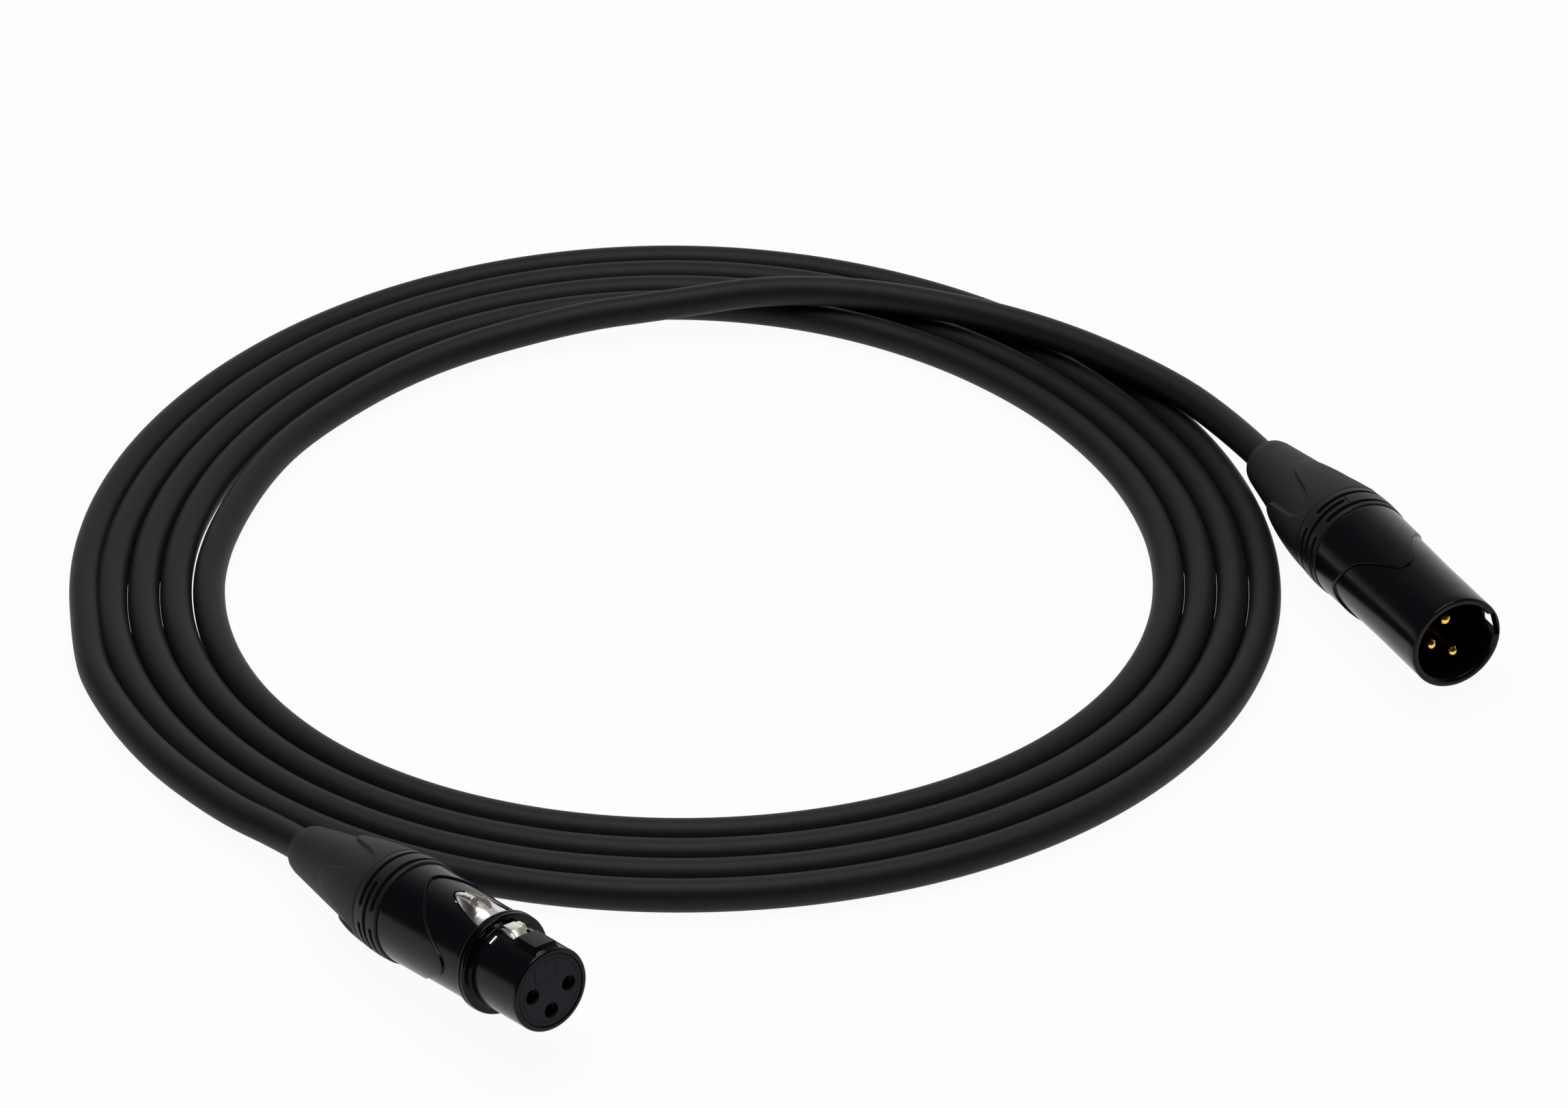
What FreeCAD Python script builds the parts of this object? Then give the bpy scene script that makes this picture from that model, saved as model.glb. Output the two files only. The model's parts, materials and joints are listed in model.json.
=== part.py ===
"""A three-metre microphone cable with a three-pin plug on each end, wound flat into a round coil.

Frame: millimetres, +Z up, z = 0 is the surface that the coil lies on, the origin is the middle
of the coil, and +X is the way the pin plug points. Each plug is drawn in a frame of its own:
X runs from the rear of its boot towards its mouth, Z is the side of its key, Y is its left.
"""
import FreeCAD, Part
import math
import os
import Sketcher
from FreeCAD import Placement, Rotation, Vector

os.makedirs("parts", exist_ok=True)
doc = FreeCAD.newDocument("xlr_cable_coil")

# Driving dimensions in millimetres, degrees and counts
SIZES = {
    # cable, and the flat coil that it is wound into
    "cable_diameter": 6.3,
    "coil_radius": 118.75,
    "coil_turns": 4,
    "strand_gap": 0.25,
    "turn_step_swell": 0.11,
    "coil_start_angle": 245.2,
    "coil_lean_along": 1.37,
    "coil_lean_across": -0.86,
    "coil_oval_along": 0.29,
    "coil_oval_across": 0.63,
    "coil_egg_along": -0.32,
    "coil_egg_across": -1.48,
    "coil_end_drift": 1.0,
    "floor_cut": 0.5,
    "male_exit_run": 15.0,
    "female_exit_run": 8.0,
    "coil_outer_exit_run": 20.0,
    "coil_inner_exit_run": 10.0,
    # where the rear of each plug lies: angle round the coil, and how far beyond its outer turn
    "male_place_angle": 78.16,
    "male_place_beyond": 0.93,
    "male_azimuth": -0.5,
    "male_nose_up": 2.0,
    "male_roll": -75.0,
    "female_place_angle": -58.8,
    "female_place_beyond": 4.4,
    "female_azimuth": 15.5,
    "female_nose_up": 7.3,
    "female_roll": -5.0,
    # three contacts on one circle
    "contact_circle_radius": 4.0,
    "pin_radius": 1.2,
    "pin_shank_radius": 1.6,
    "cup_bore_radius": 0.9,
    "cup_wall": 0.6,
    "cup_depth": 3.0,
    "contact_clearance": 0.02,
    "collar_width": 0.5,
    "collar_thickness": 1.0,
    "core_wire_radius": 0.6,
    "core_wire_offset": 1.3,
    "core_wire_lead": 2.0,
    "core_wire_end_gap": 0.5,
    # fits and walls shared by the two plugs
    "sliding_clearance": 0.1,
    "cable_clearance": 0.05,
    "thread_clearance": 0.1,
    "flange_thickness": 2.0,
    "clamp_flange_thickness": 1.5,
    "clamp_flange_clearance": 0.3,
    "clamp_setback": 1.0,
    "clamp_slot_width": 1.0,
    "clamp_bore_flare": 5.0,
    "clamp_flare_length": 1.5,
    "skirt_wall": 1.0,
    "neck_length": 8.0,
    "neck_radius": 6.1,
    "rounding": 1.4,
    "chamfer": 0.4,
    "overcut": 1.0,
    # grip ring: a seam line at each end, long grooves rear and front, short ones between them
    "line_groove_width": 0.25,
    "line_groove_depth": 0.3,
    "grip_groove_width": 0.8,
    "grip_groove_depth": 0.8,
    "grip_long_angle": 157.0,
    "grip_short_angle": 77.0,
    "grip_ring_fall": 0.1,
    "petal_gap_stop": 2.2,
    # pin plug, from the rear of its boot to its mouth
    "male_length": 77.4,
    "male_boot_length": 32.3,
    "male_ring_width": 7.4,
    "male_sleeve_length": 4.4,
    "male_skirt_length": 4.4,
    "male_mouth_depth": 15.0,
    "male_grip_length": 5.0,
    "male_boot_rear_radius": 5.3,
    "male_boot_front_radius": 10.0,
    "male_petal_start": 15.5,
    "male_petal_rear_radius": 8.2,
    "male_petal_middle_radius": 9.8,
    "male_petal_front_radius": 10.45,
    "male_petal_gap": 3.5,
    "male_petal_turn": 36.0,
    "male_grip_turn": 128.0,
    "male_ring_radius": 10.7,
    "male_mantle_radius": 10.4,
    "male_body_radius": 9.6,
    "male_wall": 1.5,
    "male_ledge_width": 0.5,
    "male_sleeve_wall": 1.8,
    "male_valley_setback": 6.8,
    "male_middle_setback": 12.3,
    "male_leaf_length": 21.8,
    "male_leaf_half_width": 6.1,
    "male_leaf_tip_round": 1.9,
    "male_leaf_thickness": 0.45,
    "male_pin_setback": 2.4,
    "keyway_clearance": 0.4,
    "keyway_depth": 0.85,
    "latch_window_setback": 6.0,
    "latch_window_length": 3.8,
    # earth ring of the pin plug
    "earth_ring_thickness": 0.4,
    "earth_ring_width": 4.0,
    "earth_ring_gap": 3.0,
    # socket plug, from the rear of its boot to its face
    "female_length": 74.0,
    "female_boot_length": 28.5,
    "female_ring_width": 6.7,
    "female_sleeve_length": 4.0,
    "female_skirt_length": 4.3,
    "female_nose_length": 15.0,
    "female_grip_length": 4.0,
    "female_boot_rear_radius": 4.8,
    "female_boot_front_radius": 9.3,
    "female_petal_start": 14.5,
    "female_petal_rear_radius": 7.5,
    "female_petal_middle_radius": 8.9,
    "female_petal_front_radius": 9.75,
    "female_petal_gap": 3.3,
    "female_petal_turn": 25.0,
    "female_grip_turn": 82.0,
    "female_ring_radius": 10.0,
    "female_mantle_radius": 9.55,
    "female_body_radius": 9.0,
    "female_nose_radius": 7.95,
    "female_nose_wall": 0.95,
    "female_ledge_width": 1.15,
    "female_sleeve_wall": 1.65,
    "female_skirt_clearance": 0.4,
    "female_valley_setback": 5.0,
    "female_middle_setback": 11.3,
    "female_leaf_length": 19.3,
    "female_leaf_half_width": 6.2,
    "female_leaf_tip_round": 3.0,
    "female_leaf_thickness": 0.35,
    "front_ring_radius": 9.65,
    "front_ring_width": 2.0,
    "face_setback": 0.25,
    "socket_wall": 0.55,
    "socket_bore_radius": 1.25,
    "socket_bore_depth": 13.0,
    "socket_setback": 1.4,
    "socket_hole_widening": 0.25,
    "socket_lead_angle": 5.0,
    "key_ridge_width": 4.9,
    "key_ridge_height": 0.8,
    "key_ridge_gap": 1.0,
    # latch of the socket plug
    "latch_pivot_setback": 1.5,
    "latch_pivot_depth": 1.1,
    "latch_pin_radius": 0.5,
    "latch_pin_half_length": 3.4,
    "latch_running_fit": 0.05,
    "latch_knuckle_radius": 1.1,
    "latch_knuckle_half_width": 1.2,
    "latch_gap": 0.3,
    "latch_plate_depth": 0.8,
    "latch_plate_half_width": 3.9,
    "latch_arm_half_width": 2.0,
    "latch_arm_depth": 0.55,
    "latch_arm_thickness": 0.8,
    "latch_hook_setback": 3.5,
    "latch_hook_length": 4.0,
    "latch_hook_slope": 1.2,
    "latch_hook_proud": 1.0,
    "latch_travel_room": 1.6,
    "latch_spring_thickness": 0.25,
    "latch_spring_width": 2.4,
    "latch_spring_setback": 1.9,
    "latch_spring_foot_length": 2.6,
    "latch_spring_rise_length": 4.8,
    "latch_spring_tip_length": 0.6,
    # earth spring of the socket plug
    "earth_angle": 30.0,
    "earth_strip_width": 1.8,
    "earth_strip_thickness": 0.4,
    "earth_strip_length": 8.4,
    "earth_strip_end_gap": 0.1,
    "earth_strip_side_gap": 0.1,
    "earth_slot_gap": 0.2,
    "earth_strip_setback": 0.6,
    "earth_bump_length": 1.9,
    "earth_bump_proud": 0.15,
}

# Places along the plugs and radii that follow from the sizes
DERIVED = {
    "turn_step": "cable_diameter + strand_gap",
    "keyway_width": "key_ridge_width + keyway_clearance",
    "cup_radius": "cup_bore_radius + cup_wall",
    "socket_radius": "socket_bore_radius + socket_wall",
    "socket_hole_radius": "socket_bore_radius + socket_hole_widening",
    "male_insert_end": "male_length - male_mouth_depth",
    "male_insert_radius": "male_body_radius - male_wall - sliding_clearance",
    "female_body_end": "female_length - female_nose_length",
    "female_insert_radius": "female_nose_radius - female_nose_wall - sliding_clearance",
    "latch_pivot": "female_ledge + latch_pivot_setback",
    "latch_pivot_height": "female_body_radius - latch_pivot_depth",
    "latch_plate_top": "female_body_radius - latch_plate_depth",
    "latch_arm_top": "female_nose_radius - latch_arm_depth",
    "latch_plate_bottom": "latch_arm_top - latch_arm_thickness",
    "latch_recess_floor": "latch_plate_bottom - latch_travel_room",
    "latch_hook_start": "female_body_end + latch_hook_setback",
    "latch_spring_foot": "latch_pivot + latch_spring_setback",
    "latch_spring_bend": "latch_spring_foot + latch_spring_foot_length",
    "latch_spring_tip": "latch_spring_bend + latch_spring_rise_length",
}
for side in ("male", "female"):
    DERIVED.update({
        side + "_ring_start": side + "_boot_length",
        side + "_ring_end": side + "_ring_start + " + side + "_ring_width",
        side + "_sleeve_end": side + "_ring_end + " + side + "_sleeve_length",
        side + "_clamp_start": side + "_ring_start + clamp_setback",
        side + "_jacket_end": side + "_clamp_start + " + side + "_grip_length",
        side + "_ledge": side + "_sleeve_end + clamp_flange_thickness + " + side
        + "_skirt_length + flange_thickness",
        side + "_sleeve_radius": side + "_insert_radius + " + side + "_ledge_width",
        side + "_clamp_radius": side + "_sleeve_radius - " + side + "_sleeve_wall - sliding_clearance",
        side + "_leaf_valley": side + "_ring_end + " + side + "_valley_setback",
        side + "_leaf_middle": side + "_ring_end + " + side + "_middle_setback",
        side + "_leaf_tip": side + "_ring_end + " + side + "_leaf_length",
    })

sheet = doc.addObject("Spreadsheet::Sheet", "sizes")
for row, (alias, value) in enumerate(SIZES.items(), start=1):
    sheet.set("A%d" % row, alias)
    sheet.set("B%d" % row, str(value))
    sheet.setAlias("B%d" % row, alias)
doc.recompute()

# Reach of a cut that passes the whole plug
THROUGH = 60.0
pieces = {}


def terms(text, scale=1.0):
    """Splits a sum such as 'male_length - 2*rounding' into (factor, size or number) pairs."""
    found = []
    sign = 1.0
    for word in text.split():
        if word in ("+", "-"):
            sign = 1.0 if word == "+" else -1.0
            continue
        factor, star, name = word.rpartition("*")
        factor = scale * sign * (float(factor) if star else 1.0)
        found += terms(DERIVED[name], factor) if name in DERIVED else [(factor, name)]
        sign = 1.0
    return found


def worth(text):
    """The number that a sum of names stands for."""
    return sum(factor * (getattr(sheet, name) if name in SIZES else float(name))
               for factor, name in terms(text))


def linked(text, sign=1.0):
    """The same sum as an expression on the sheet."""
    return " ".join("%+.6g * %s" % (factor * sign, "sizes." + name if name in SIZES else name)
                    for factor, name in terms(text))


def bind(item, prop, text, sign=1.0):
    """Sets a property from the sheet."""
    item.setExpression(prop, linked(text, sign))


def new_body(label, place):
    """An empty body with its name and its place."""
    body = doc.addObject("PartDesign::Body", label)
    body.Label = label
    body.Placement = place
    pieces[label] = body
    return body


def origin_feature(body, role):
    """One of a body's own planes or axes."""
    for feature in body.Origin.OriginFeatures:
        if feature.Role == role:
            return feature
    raise ValueError(role)


def new_sketch(body, name, role="XY_Plane", lift=0.0, turn=0.0):
    """A sketch on a body's own plane, lifted off it, or turned about its first axis."""
    sketch = body.newObject("Sketcher::SketchObject", body.Label + "_" + name)
    sketch.AttachmentSupport = [(origin_feature(body, role), "")]
    sketch.MapMode = "FlatFace"
    sketch.AttachmentOffset = Placement(Vector(0, 0, lift), Rotation(Vector(1, 0, 0), turn))
    return sketch


def pin_down(sketch, curve, end, spot):
    """Ties one end of a curve to the sheet with its two distances from the origin."""
    for axis, text in zip(("X", "Y"), spot):
        value = worth(text)
        if text == "0":
            line = -2 if axis == "X" else -1
            sketch.addConstraint(Sketcher.Constraint("PointOnObject", curve, end, line))
        elif value > 0:
            made = sketch.addConstraint(Sketcher.Constraint("Distance" + axis, -1, 1, curve, end, value))
            bind(sketch, "Constraints[%d]" % made, text)
        else:
            made = sketch.addConstraint(Sketcher.Constraint("Distance" + axis, curve, end, -1, 1, -value))
            bind(sketch, "Constraints[%d]" % made, text, -1.0)


def circle_through(first, middle, last):
    """Centre and radius of the circle through three points."""
    arc = Part.Arc(first, middle, last).toShape().Curve
    return arc.Center, arc.Radius


def outline(sketch, corners):
    """Closes an outline through corners; a third entry is a point on the arc that leads to the corner."""
    spots = [Vector(worth(corner[0]), worth(corner[1]), 0) for corner in corners]
    ends = []
    for index, corner in enumerate(corners):
        start, finish = spots[index - 1], spots[index]
        if len(corner) == 2:
            sketch.addGeometry(Part.LineSegment(start, finish), False)
            ends.append((1, 2))
            continue
        middle = Vector(worth(corner[2][0]), worth(corner[2][1]), 0)
        centre, radius = circle_through(start, middle, finish)
        angles = [math.atan2(spot.y - centre.y, spot.x - centre.x) for spot in (start, middle, finish)]
        ahead = (angles[1] - angles[0]) % math.tau < (angles[2] - angles[0]) % math.tau
        first, last = (angles[0], angles[2]) if ahead else (angles[2], angles[0])
        circle = Part.Circle(centre, Vector(0, 0, 1), radius)
        sketch.addGeometry(Part.ArcOfCircle(circle, first, last), False)
        ends.append((1, 2) if ahead else (2, 1))
    count = len(corners)
    for index in range(count):
        after = (index + 1) % count
        sketch.addConstraint(Sketcher.Constraint("Coincident", index, ends[index][1],
                                                 after, ends[after][0]))
        pin_down(sketch, index, ends[index][1], corners[index])
    for index, corner in enumerate(corners):
        if len(corner) == 3:
            mark = sketch.addGeometry(Part.Point(Vector(worth(corner[2][0]), worth(corner[2][1]), 0)), True)
            pin_down(sketch, mark, 1, corner[2])
            sketch.addConstraint(Sketcher.Constraint("PointOnObject", mark, 1, index))


def circles(sketch, centres, radius):
    """Circles of one radius at the given centres."""
    for centre in centres:
        spot = Vector(worth(centre[0]), worth(centre[1]), 0)
        made = sketch.addGeometry(Part.Circle(spot, Vector(0, 0, 1), worth(radius)), False)
        pin_down(sketch, made, 3, centre)
        size = sketch.addConstraint(Sketcher.Constraint("Radius", made, worth(radius)))
        bind(sketch, "Constraints[%d]" % size, radius)


def turned(body, name, corners):
    """Turns an outline of (along, radius) corners round the plug's axis and adds it."""
    sketch = new_sketch(body, name + "_outline")
    outline(sketch, corners)
    feature = body.newObject("PartDesign::Revolution", body.Label + "_" + name)
    feature.Profile = sketch
    feature.ReferenceAxis = (sketch, ["H_Axis"])
    feature.Angle = 360
    body.Tip = feature
    return feature


def grooved(body, name, corners, angle="360", start=0.0):
    """Cuts an outline of (along, radius) corners out of a body, round the plug's axis."""
    sketch = new_sketch(body, name + "_outline", turn=start)
    outline(sketch, corners)
    feature = body.newObject("PartDesign::Groove", body.Label + "_" + name)
    feature.Profile = sketch
    feature.ReferenceAxis = (sketch, ["H_Axis"])
    feature.Angle = worth(angle)
    bind(feature, "Angle", angle)
    body.Tip = feature
    return feature


def band(start, width, inner, outer):
    """Corners of a rectangle in (along, radius)."""
    return [(start, inner), (start + " + " + width, inner), (start + " + " + width, outer), (start, outer)]


def pocketed(body, name, sketch, length, both_ways=True, upward=False):
    """Cuts a sketch out of a body."""
    feature = body.newObject("PartDesign::Pocket", body.Label + "_" + name)
    feature.Profile = sketch
    feature.Length = worth(length)
    bind(feature, "Length", length)
    if both_ways:
        feature.SideType = "Symmetric"
    feature.Reversed = upward
    body.Tip = feature
    return feature


def padded(body, name, sketch, length, both_ways=True):
    """Adds a sketch's thickness to a body."""
    feature = body.newObject("PartDesign::Pad", body.Label + "_" + name)
    feature.Profile = sketch
    feature.Length = worth(length)
    bind(feature, "Length", length)
    if both_ways:
        feature.SideType = "Symmetric"
    body.Tip = feature
    return feature


def repeated(body, name, feature, count, angle=360.0):
    """Repeats a feature round the plug's axis; count is a number or a sheet name."""
    pattern = body.newObject("PartDesign::PolarPattern", body.Label + "_" + name)
    pattern.Originals = [feature]
    pattern.Axis = (origin_feature(body, "X_Axis"), [""])
    pattern.Angle = angle
    pattern.Occurrences = int(worth(count))
    body.Tip = pattern
    return pattern


def lowest_reach(spots, tilt):
    """How far an arc in (along, radius) reaches below the plug's rear when its nose is up by tilt."""
    centre, radius = circle_through(*[Vector(worth(spot[0]), worth(spot[1]), 0) for spot in spots])
    return centre.y * math.cos(tilt) - centre.x * math.sin(tilt) + radius


def petal_arc(side):
    """Three points of a petal's back."""
    start, front = side + "_petal_start", side + "_ring_start"
    return [
        (start, side + "_petal_rear_radius"),
        ("0.5*" + start + " + 0.5*" + front, side + "_petal_middle_radius"),
        (front, side + "_petal_front_radius"),
    ]


def ring_arc(side):
    """Three points of the grip ring's outside."""
    start, end = side + "_ring_start", side + "_ring_end"
    return [
        (start, side + "_petal_front_radius"),
        ("0.45*" + start + " + 0.55*" + end, side + "_ring_radius"),
        (end, side + "_ring_radius - grip_ring_fall"),
    ]


def round_coil(angle, beyond, height, inner=False):
    """Point at an angle round the coil, so far beyond its outer turn or beyond its inner end."""
    radius = worth("coil_radius") + beyond
    if inner:
        radius -= worth("coil_turns") * worth("turn_step")
    return Vector(radius * math.cos(math.radians(angle)), radius * math.sin(math.radians(angle)), height)


def plug_place(side):
    """Place of a plug that rests on a petal or its grip ring, nose a little up, turned about its axis."""
    tilt = math.radians(worth(side + "_nose_up"))
    height = max(lowest_reach(petal_arc(side), tilt), lowest_reach(ring_arc(side), tilt))
    turn = Rotation(Vector(0, 0, 1), worth(side + "_azimuth"))
    turn = turn.multiply(Rotation(Vector(0, 1, 0), -worth(side + "_nose_up")))
    turn = turn.multiply(Rotation(Vector(1, 0, 0), worth(side + "_roll")))
    spot = round_coil(worth(side + "_place_angle"), worth(side + "_place_beyond"), height)
    return Placement(spot, turn)


def beside_axis(place, across, up):
    """The same place moved across and up in the plug's own frame."""
    return place.multiply(Placement(Vector(0, across, up), Rotation()))


male = plug_place("male")
female = plug_place("female")
plugs = {"male": male, "female": female}

# Contact positions (across, up) seen in each plug's own frame; the mating plug's pattern is its mirror
contacts = {
    "male": [("contact_circle_radius", "0"), ("- contact_circle_radius", "0"),
             ("0", "- contact_circle_radius")],
    "female": [("- contact_circle_radius", "0"), ("contact_circle_radius", "0"),
               ("0", "- contact_circle_radius")],
}


# Rear half of a plug, the same on both: boot, bushing with its grip ring, clamp and jacket end
def make_boot(side):
    """Rubber boot: a cone with four raised petals that widen towards the grip ring."""
    body = new_body(side + "_boot", plugs[side])
    start = side + "_petal_start"
    front = side + "_ring_start"
    gap = side + "_petal_gap"
    rear_radius = side + "_boot_rear_radius"
    bore = "0.5*cable_diameter + cable_clearance"
    rear_edge, middle, front_edge = petal_arc(side)
    turned(body, "petals", [
        (start, "neck_radius"),
        (front, "neck_radius"),
        front_edge,
        rear_edge + (middle,),
    ])
    between = new_sketch(body, "gap_outline", "XZ_Plane", turn=worth(side + "_petal_turn"))
    waist = front + " - 3*petal_gap_stop"
    shoulder = front + " - 2*petal_gap_stop"
    reach = front + " - petal_gap_stop"
    outline(between, [
        (start + " - overcut", "- 1.8*" + gap),
        (start, "- 1.8*" + gap),
        (start + " + 3", "- 1.1*" + gap, (start + " + 0.8", "- 1.4*" + gap)),
        (waist, "- 1*" + gap),
        (shoulder, "- 0.78*" + gap),
        (reach, "- 0.35*" + gap),
        (reach, "0.35*" + gap, (reach + " + 0.8", "0")),
        (shoulder, "0.78*" + gap),
        (waist, gap),
        (start + " + 3", "1.1*" + gap),
        (start, "1.8*" + gap, (start + " + 0.8", "1.4*" + gap)),
        (start + " - overcut", "1.8*" + gap),
    ])
    cut = pocketed(body, "gap", between, str(THROUGH))
    repeated(body, "gaps", cut, "2", 180.0)
    turned(body, "cone", [
        ("0", bore),
        (front + " - neck_length", bore),
        (front + " - neck_length", "neck_radius"),
        (front, "neck_radius"),
        (front, side + "_boot_front_radius"),
        ("rounding", rear_radius),
        ("0", rear_radius + " - rounding", ("0.3*rounding", rear_radius + " - 0.3*rounding")),
    ])


def make_bushing(side):
    """Threaded bushing: neck under the boot, grip ring outside, sleeve that screws into the shell."""
    body = new_body(side + "_bushing", plugs[side])
    start = side + "_ring_start"
    end = side + "_ring_end"
    radius = side + "_ring_radius"
    clamp_bore = side + "_clamp_radius + sliding_clearance"
    rear_bore = "0.5*cable_diameter + 2*sliding_clearance"
    rear_edge, middle, front_edge = ring_arc(side)
    turned(body, "turning", [
        (start + " - neck_length", rear_bore),
        (side + "_clamp_start", rear_bore),
        (side + "_clamp_start", clamp_bore),
        (side + "_sleeve_end", clamp_bore),
        (side + "_sleeve_end", side + "_sleeve_radius"),
        (end, side + "_sleeve_radius"),
        front_edge,
        rear_edge + (middle,),
        (start, "neck_radius"),
        (start + " - neck_length", "neck_radius"),
    ])
    outside = radius + " + overcut"
    line_floor = radius + " - line_groove_depth"
    seam = "line_groove_width + overcut"
    grooved(body, "rear_line", band(start + " - overcut", seam, line_floor, outside))
    grooved(body, "front_line", band(end + " - line_groove_width", seam, line_floor, outside))
    long_start = worth("180 + " + side + "_grip_turn - 0.5*grip_long_angle")
    short_start = worth("90 + " + side + "_grip_turn - 0.5*grip_short_angle")
    rows = {"rear": ("0.72*" + start + " + 0.28*" + end, "grip_long_angle", long_start),
            "middle": ("0.48*" + start + " + 0.52*" + end, "grip_short_angle", short_start),
            "front": ("0.21*" + start + " + 0.79*" + end, "grip_long_angle", long_start)}
    for name, (centre, angle, begin) in rows.items():
        groove = grooved(body, name + "_groove",
                         band(centre + " - 0.5*grip_groove_width", "grip_groove_width",
                              radius + " - grip_groove_depth", outside), angle, begin)
        repeated(body, name + "_grooves", groove, "2")


def make_clamp(side):
    """Slotted clamp that the bushing squeezes onto the jacket, with a flange that pushes on the insert."""
    body = new_body(side + "_cable_clamp", plugs[side])
    bore = "0.5*cable_diameter + cable_clearance"
    flange_end = side + "_sleeve_end + clamp_flange_thickness"
    turned(body, "turning", [
        (side + "_clamp_start", bore),
        (side + "_jacket_end", bore),
        (side + "_jacket_end + clamp_flare_length", "clamp_bore_flare"),
        (flange_end, "clamp_bore_flare"),
        (flange_end, side + "_sleeve_radius - clamp_flange_clearance"),
        (side + "_sleeve_end", side + "_sleeve_radius - clamp_flange_clearance"),
        (side + "_sleeve_end", side + "_clamp_radius"),
        (side + "_clamp_start", side + "_clamp_radius"),
    ])
    sketch = new_sketch(body, "slot_outline", "XZ_Plane")
    outline(sketch, [
        (side + "_clamp_start - overcut", "- 0.5*clamp_slot_width"),
        (side + "_jacket_end - overcut", "- 0.5*clamp_slot_width"),
        (side + "_jacket_end - overcut", "0.5*clamp_slot_width"),
        (side + "_clamp_start - overcut", "0.5*clamp_slot_width"),
    ])
    slot = pocketed(body, "slot", sketch, str(THROUGH))
    repeated(body, "slots", slot, "2", 180.0)


def make_jacket_end(side):
    """Stripped end of the cable, from the rear of the boot to inside the clamp."""
    body = new_body(side + "_jacket_end", plugs[side])
    turned(body, "jacket", [
        ("0", "0"),
        (side + "_jacket_end", "0"),
        (side + "_jacket_end", "0.5*cable_diameter"),
        ("0", "0.5*cable_diameter"),
    ])


# Shell of a plug, the same start on both: a mantle cut to two leaves over a plain body
def leaf_mantle(body, side, bore):
    """Thick rear of a shell, whose front edge is cut to two leaves, left and right of the key."""
    tip = side + "_leaf_tip"
    middle = side + "_leaf_middle"
    valley = side + "_leaf_valley"
    width = side + "_leaf_half_width"
    front_radius = side + "_body_radius + " + side + "_leaf_thickness"
    turned(body, "mantle", [
        (side + "_ring_end", bore + " + 0.3"),
        (tip, bore + " + 0.3"),
        (tip, front_radius),
        (side + "_ring_end", side + "_mantle_radius"),
    ])
    far = side + "_mantle_radius + overcut"
    beyond = "- " + side + "_mantle_radius - overcut"
    round_size = side + "_leaf_tip_round"
    flank_along = "0.54*" + middle + " + 0.46*" + valley
    flank = "0.3*" + width + " + 0.7*" + side + "_body_radius"
    other_flank = "- 0.3*" + width + " - 0.7*" + side + "_body_radius"
    sketch = new_sketch(body, "leaf_outline", "XZ_Plane")
    outline(sketch, [
        (valley, "- " + side + "_body_radius - 0.3"),
        (middle, "- " + width, (flank_along, other_flank)),
        (tip + " - 0.9*" + round_size, "- " + round_size),
        (tip + " - 0.9*" + round_size, round_size, (tip + " - 0.15*" + round_size, "0")),
        (middle, width),
        (valley, side + "_body_radius + 0.3", (flank_along, flank)),
        (valley, far),
        (tip + " + overcut", far),
        (tip + " + overcut", beyond),
        (valley, beyond),
    ])
    pocketed(body, "leaf_edge", sketch, str(THROUGH))


def make_male_shell():
    """Shell of the pin plug: leaves over a plain tube, with keyway and latch window at its mouth."""
    body = new_body("male_shell", male)
    thread = "male_sleeve_radius + thread_clearance"
    bore = "male_insert_radius + sliding_clearance"
    leaf_mantle(body, "male", thread)
    turned(body, "tube", [
        ("male_ring_end", thread),
        ("male_ledge", thread),
        ("male_ledge", bore),
        ("male_length - chamfer", bore),
        ("male_length", bore + " + chamfer"),
        ("male_length", "male_body_radius - chamfer"),
        ("male_length - chamfer", "male_body_radius",
         ("male_length - 0.3*chamfer", "male_body_radius - 0.3*chamfer")),
        ("male_leaf_tip", "male_body_radius"),
        ("male_ring_end", "male_mantle_radius - male_leaf_thickness"),
    ])
    key = new_sketch(body, "keyway_outline", "YZ_Plane", lift=worth("male_insert_end"))
    key.setExpression("AttachmentOffset.Base.z", linked("male_insert_end"))
    outline(key, [
        ("- 0.5*keyway_width", "male_insert_radius - overcut"),
        ("0.5*keyway_width", "male_insert_radius - overcut"),
        ("0.5*keyway_width", bore + " + keyway_depth"),
        ("- 0.5*keyway_width", bore + " + keyway_depth"),
    ])
    pocketed(body, "keyway", key, "male_length", both_ways=False, upward=True)
    window = new_sketch(body, "window_outline", "XY_Plane")
    outline(window, [
        ("male_length - latch_window_setback", "- 0.5*keyway_width"),
        ("male_length - latch_window_setback + latch_window_length", "- 0.5*keyway_width"),
        ("male_length - latch_window_setback + latch_window_length", "0.5*keyway_width"),
        ("male_length - latch_window_setback", "0.5*keyway_width"),
    ])
    pocketed(body, "window", window, str(THROUGH), both_ways=False, upward=True)


def make_male_insert():
    """Plastic insert that carries the three pins, with a skirt that the clamp pushes on."""
    body = new_body("male_insert", male)
    rear = "male_ledge - flange_thickness"
    skirt_start = "male_sleeve_end + clamp_flange_thickness"
    turned(body, "turning", [
        (rear, "0"),
        ("male_insert_end", "0"),
        ("male_insert_end", "male_insert_radius - chamfer"),
        ("male_insert_end - chamfer", "male_insert_radius"),
        ("male_ledge", "male_insert_radius"),
        ("male_ledge", "male_sleeve_radius"),
        (rear, "male_sleeve_radius"),
        (rear, "male_insert_radius"),
        (skirt_start, "male_insert_radius"),
        (skirt_start, "male_insert_radius - skirt_wall"),
        (rear, "male_insert_radius - skirt_wall"),
    ])
    sketch = new_sketch(body, "holes_outline", "YZ_Plane")
    circles(sketch, contacts["male"], "pin_shank_radius + contact_clearance")
    pocketed(body, "holes", sketch, "4*male_length")


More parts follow.
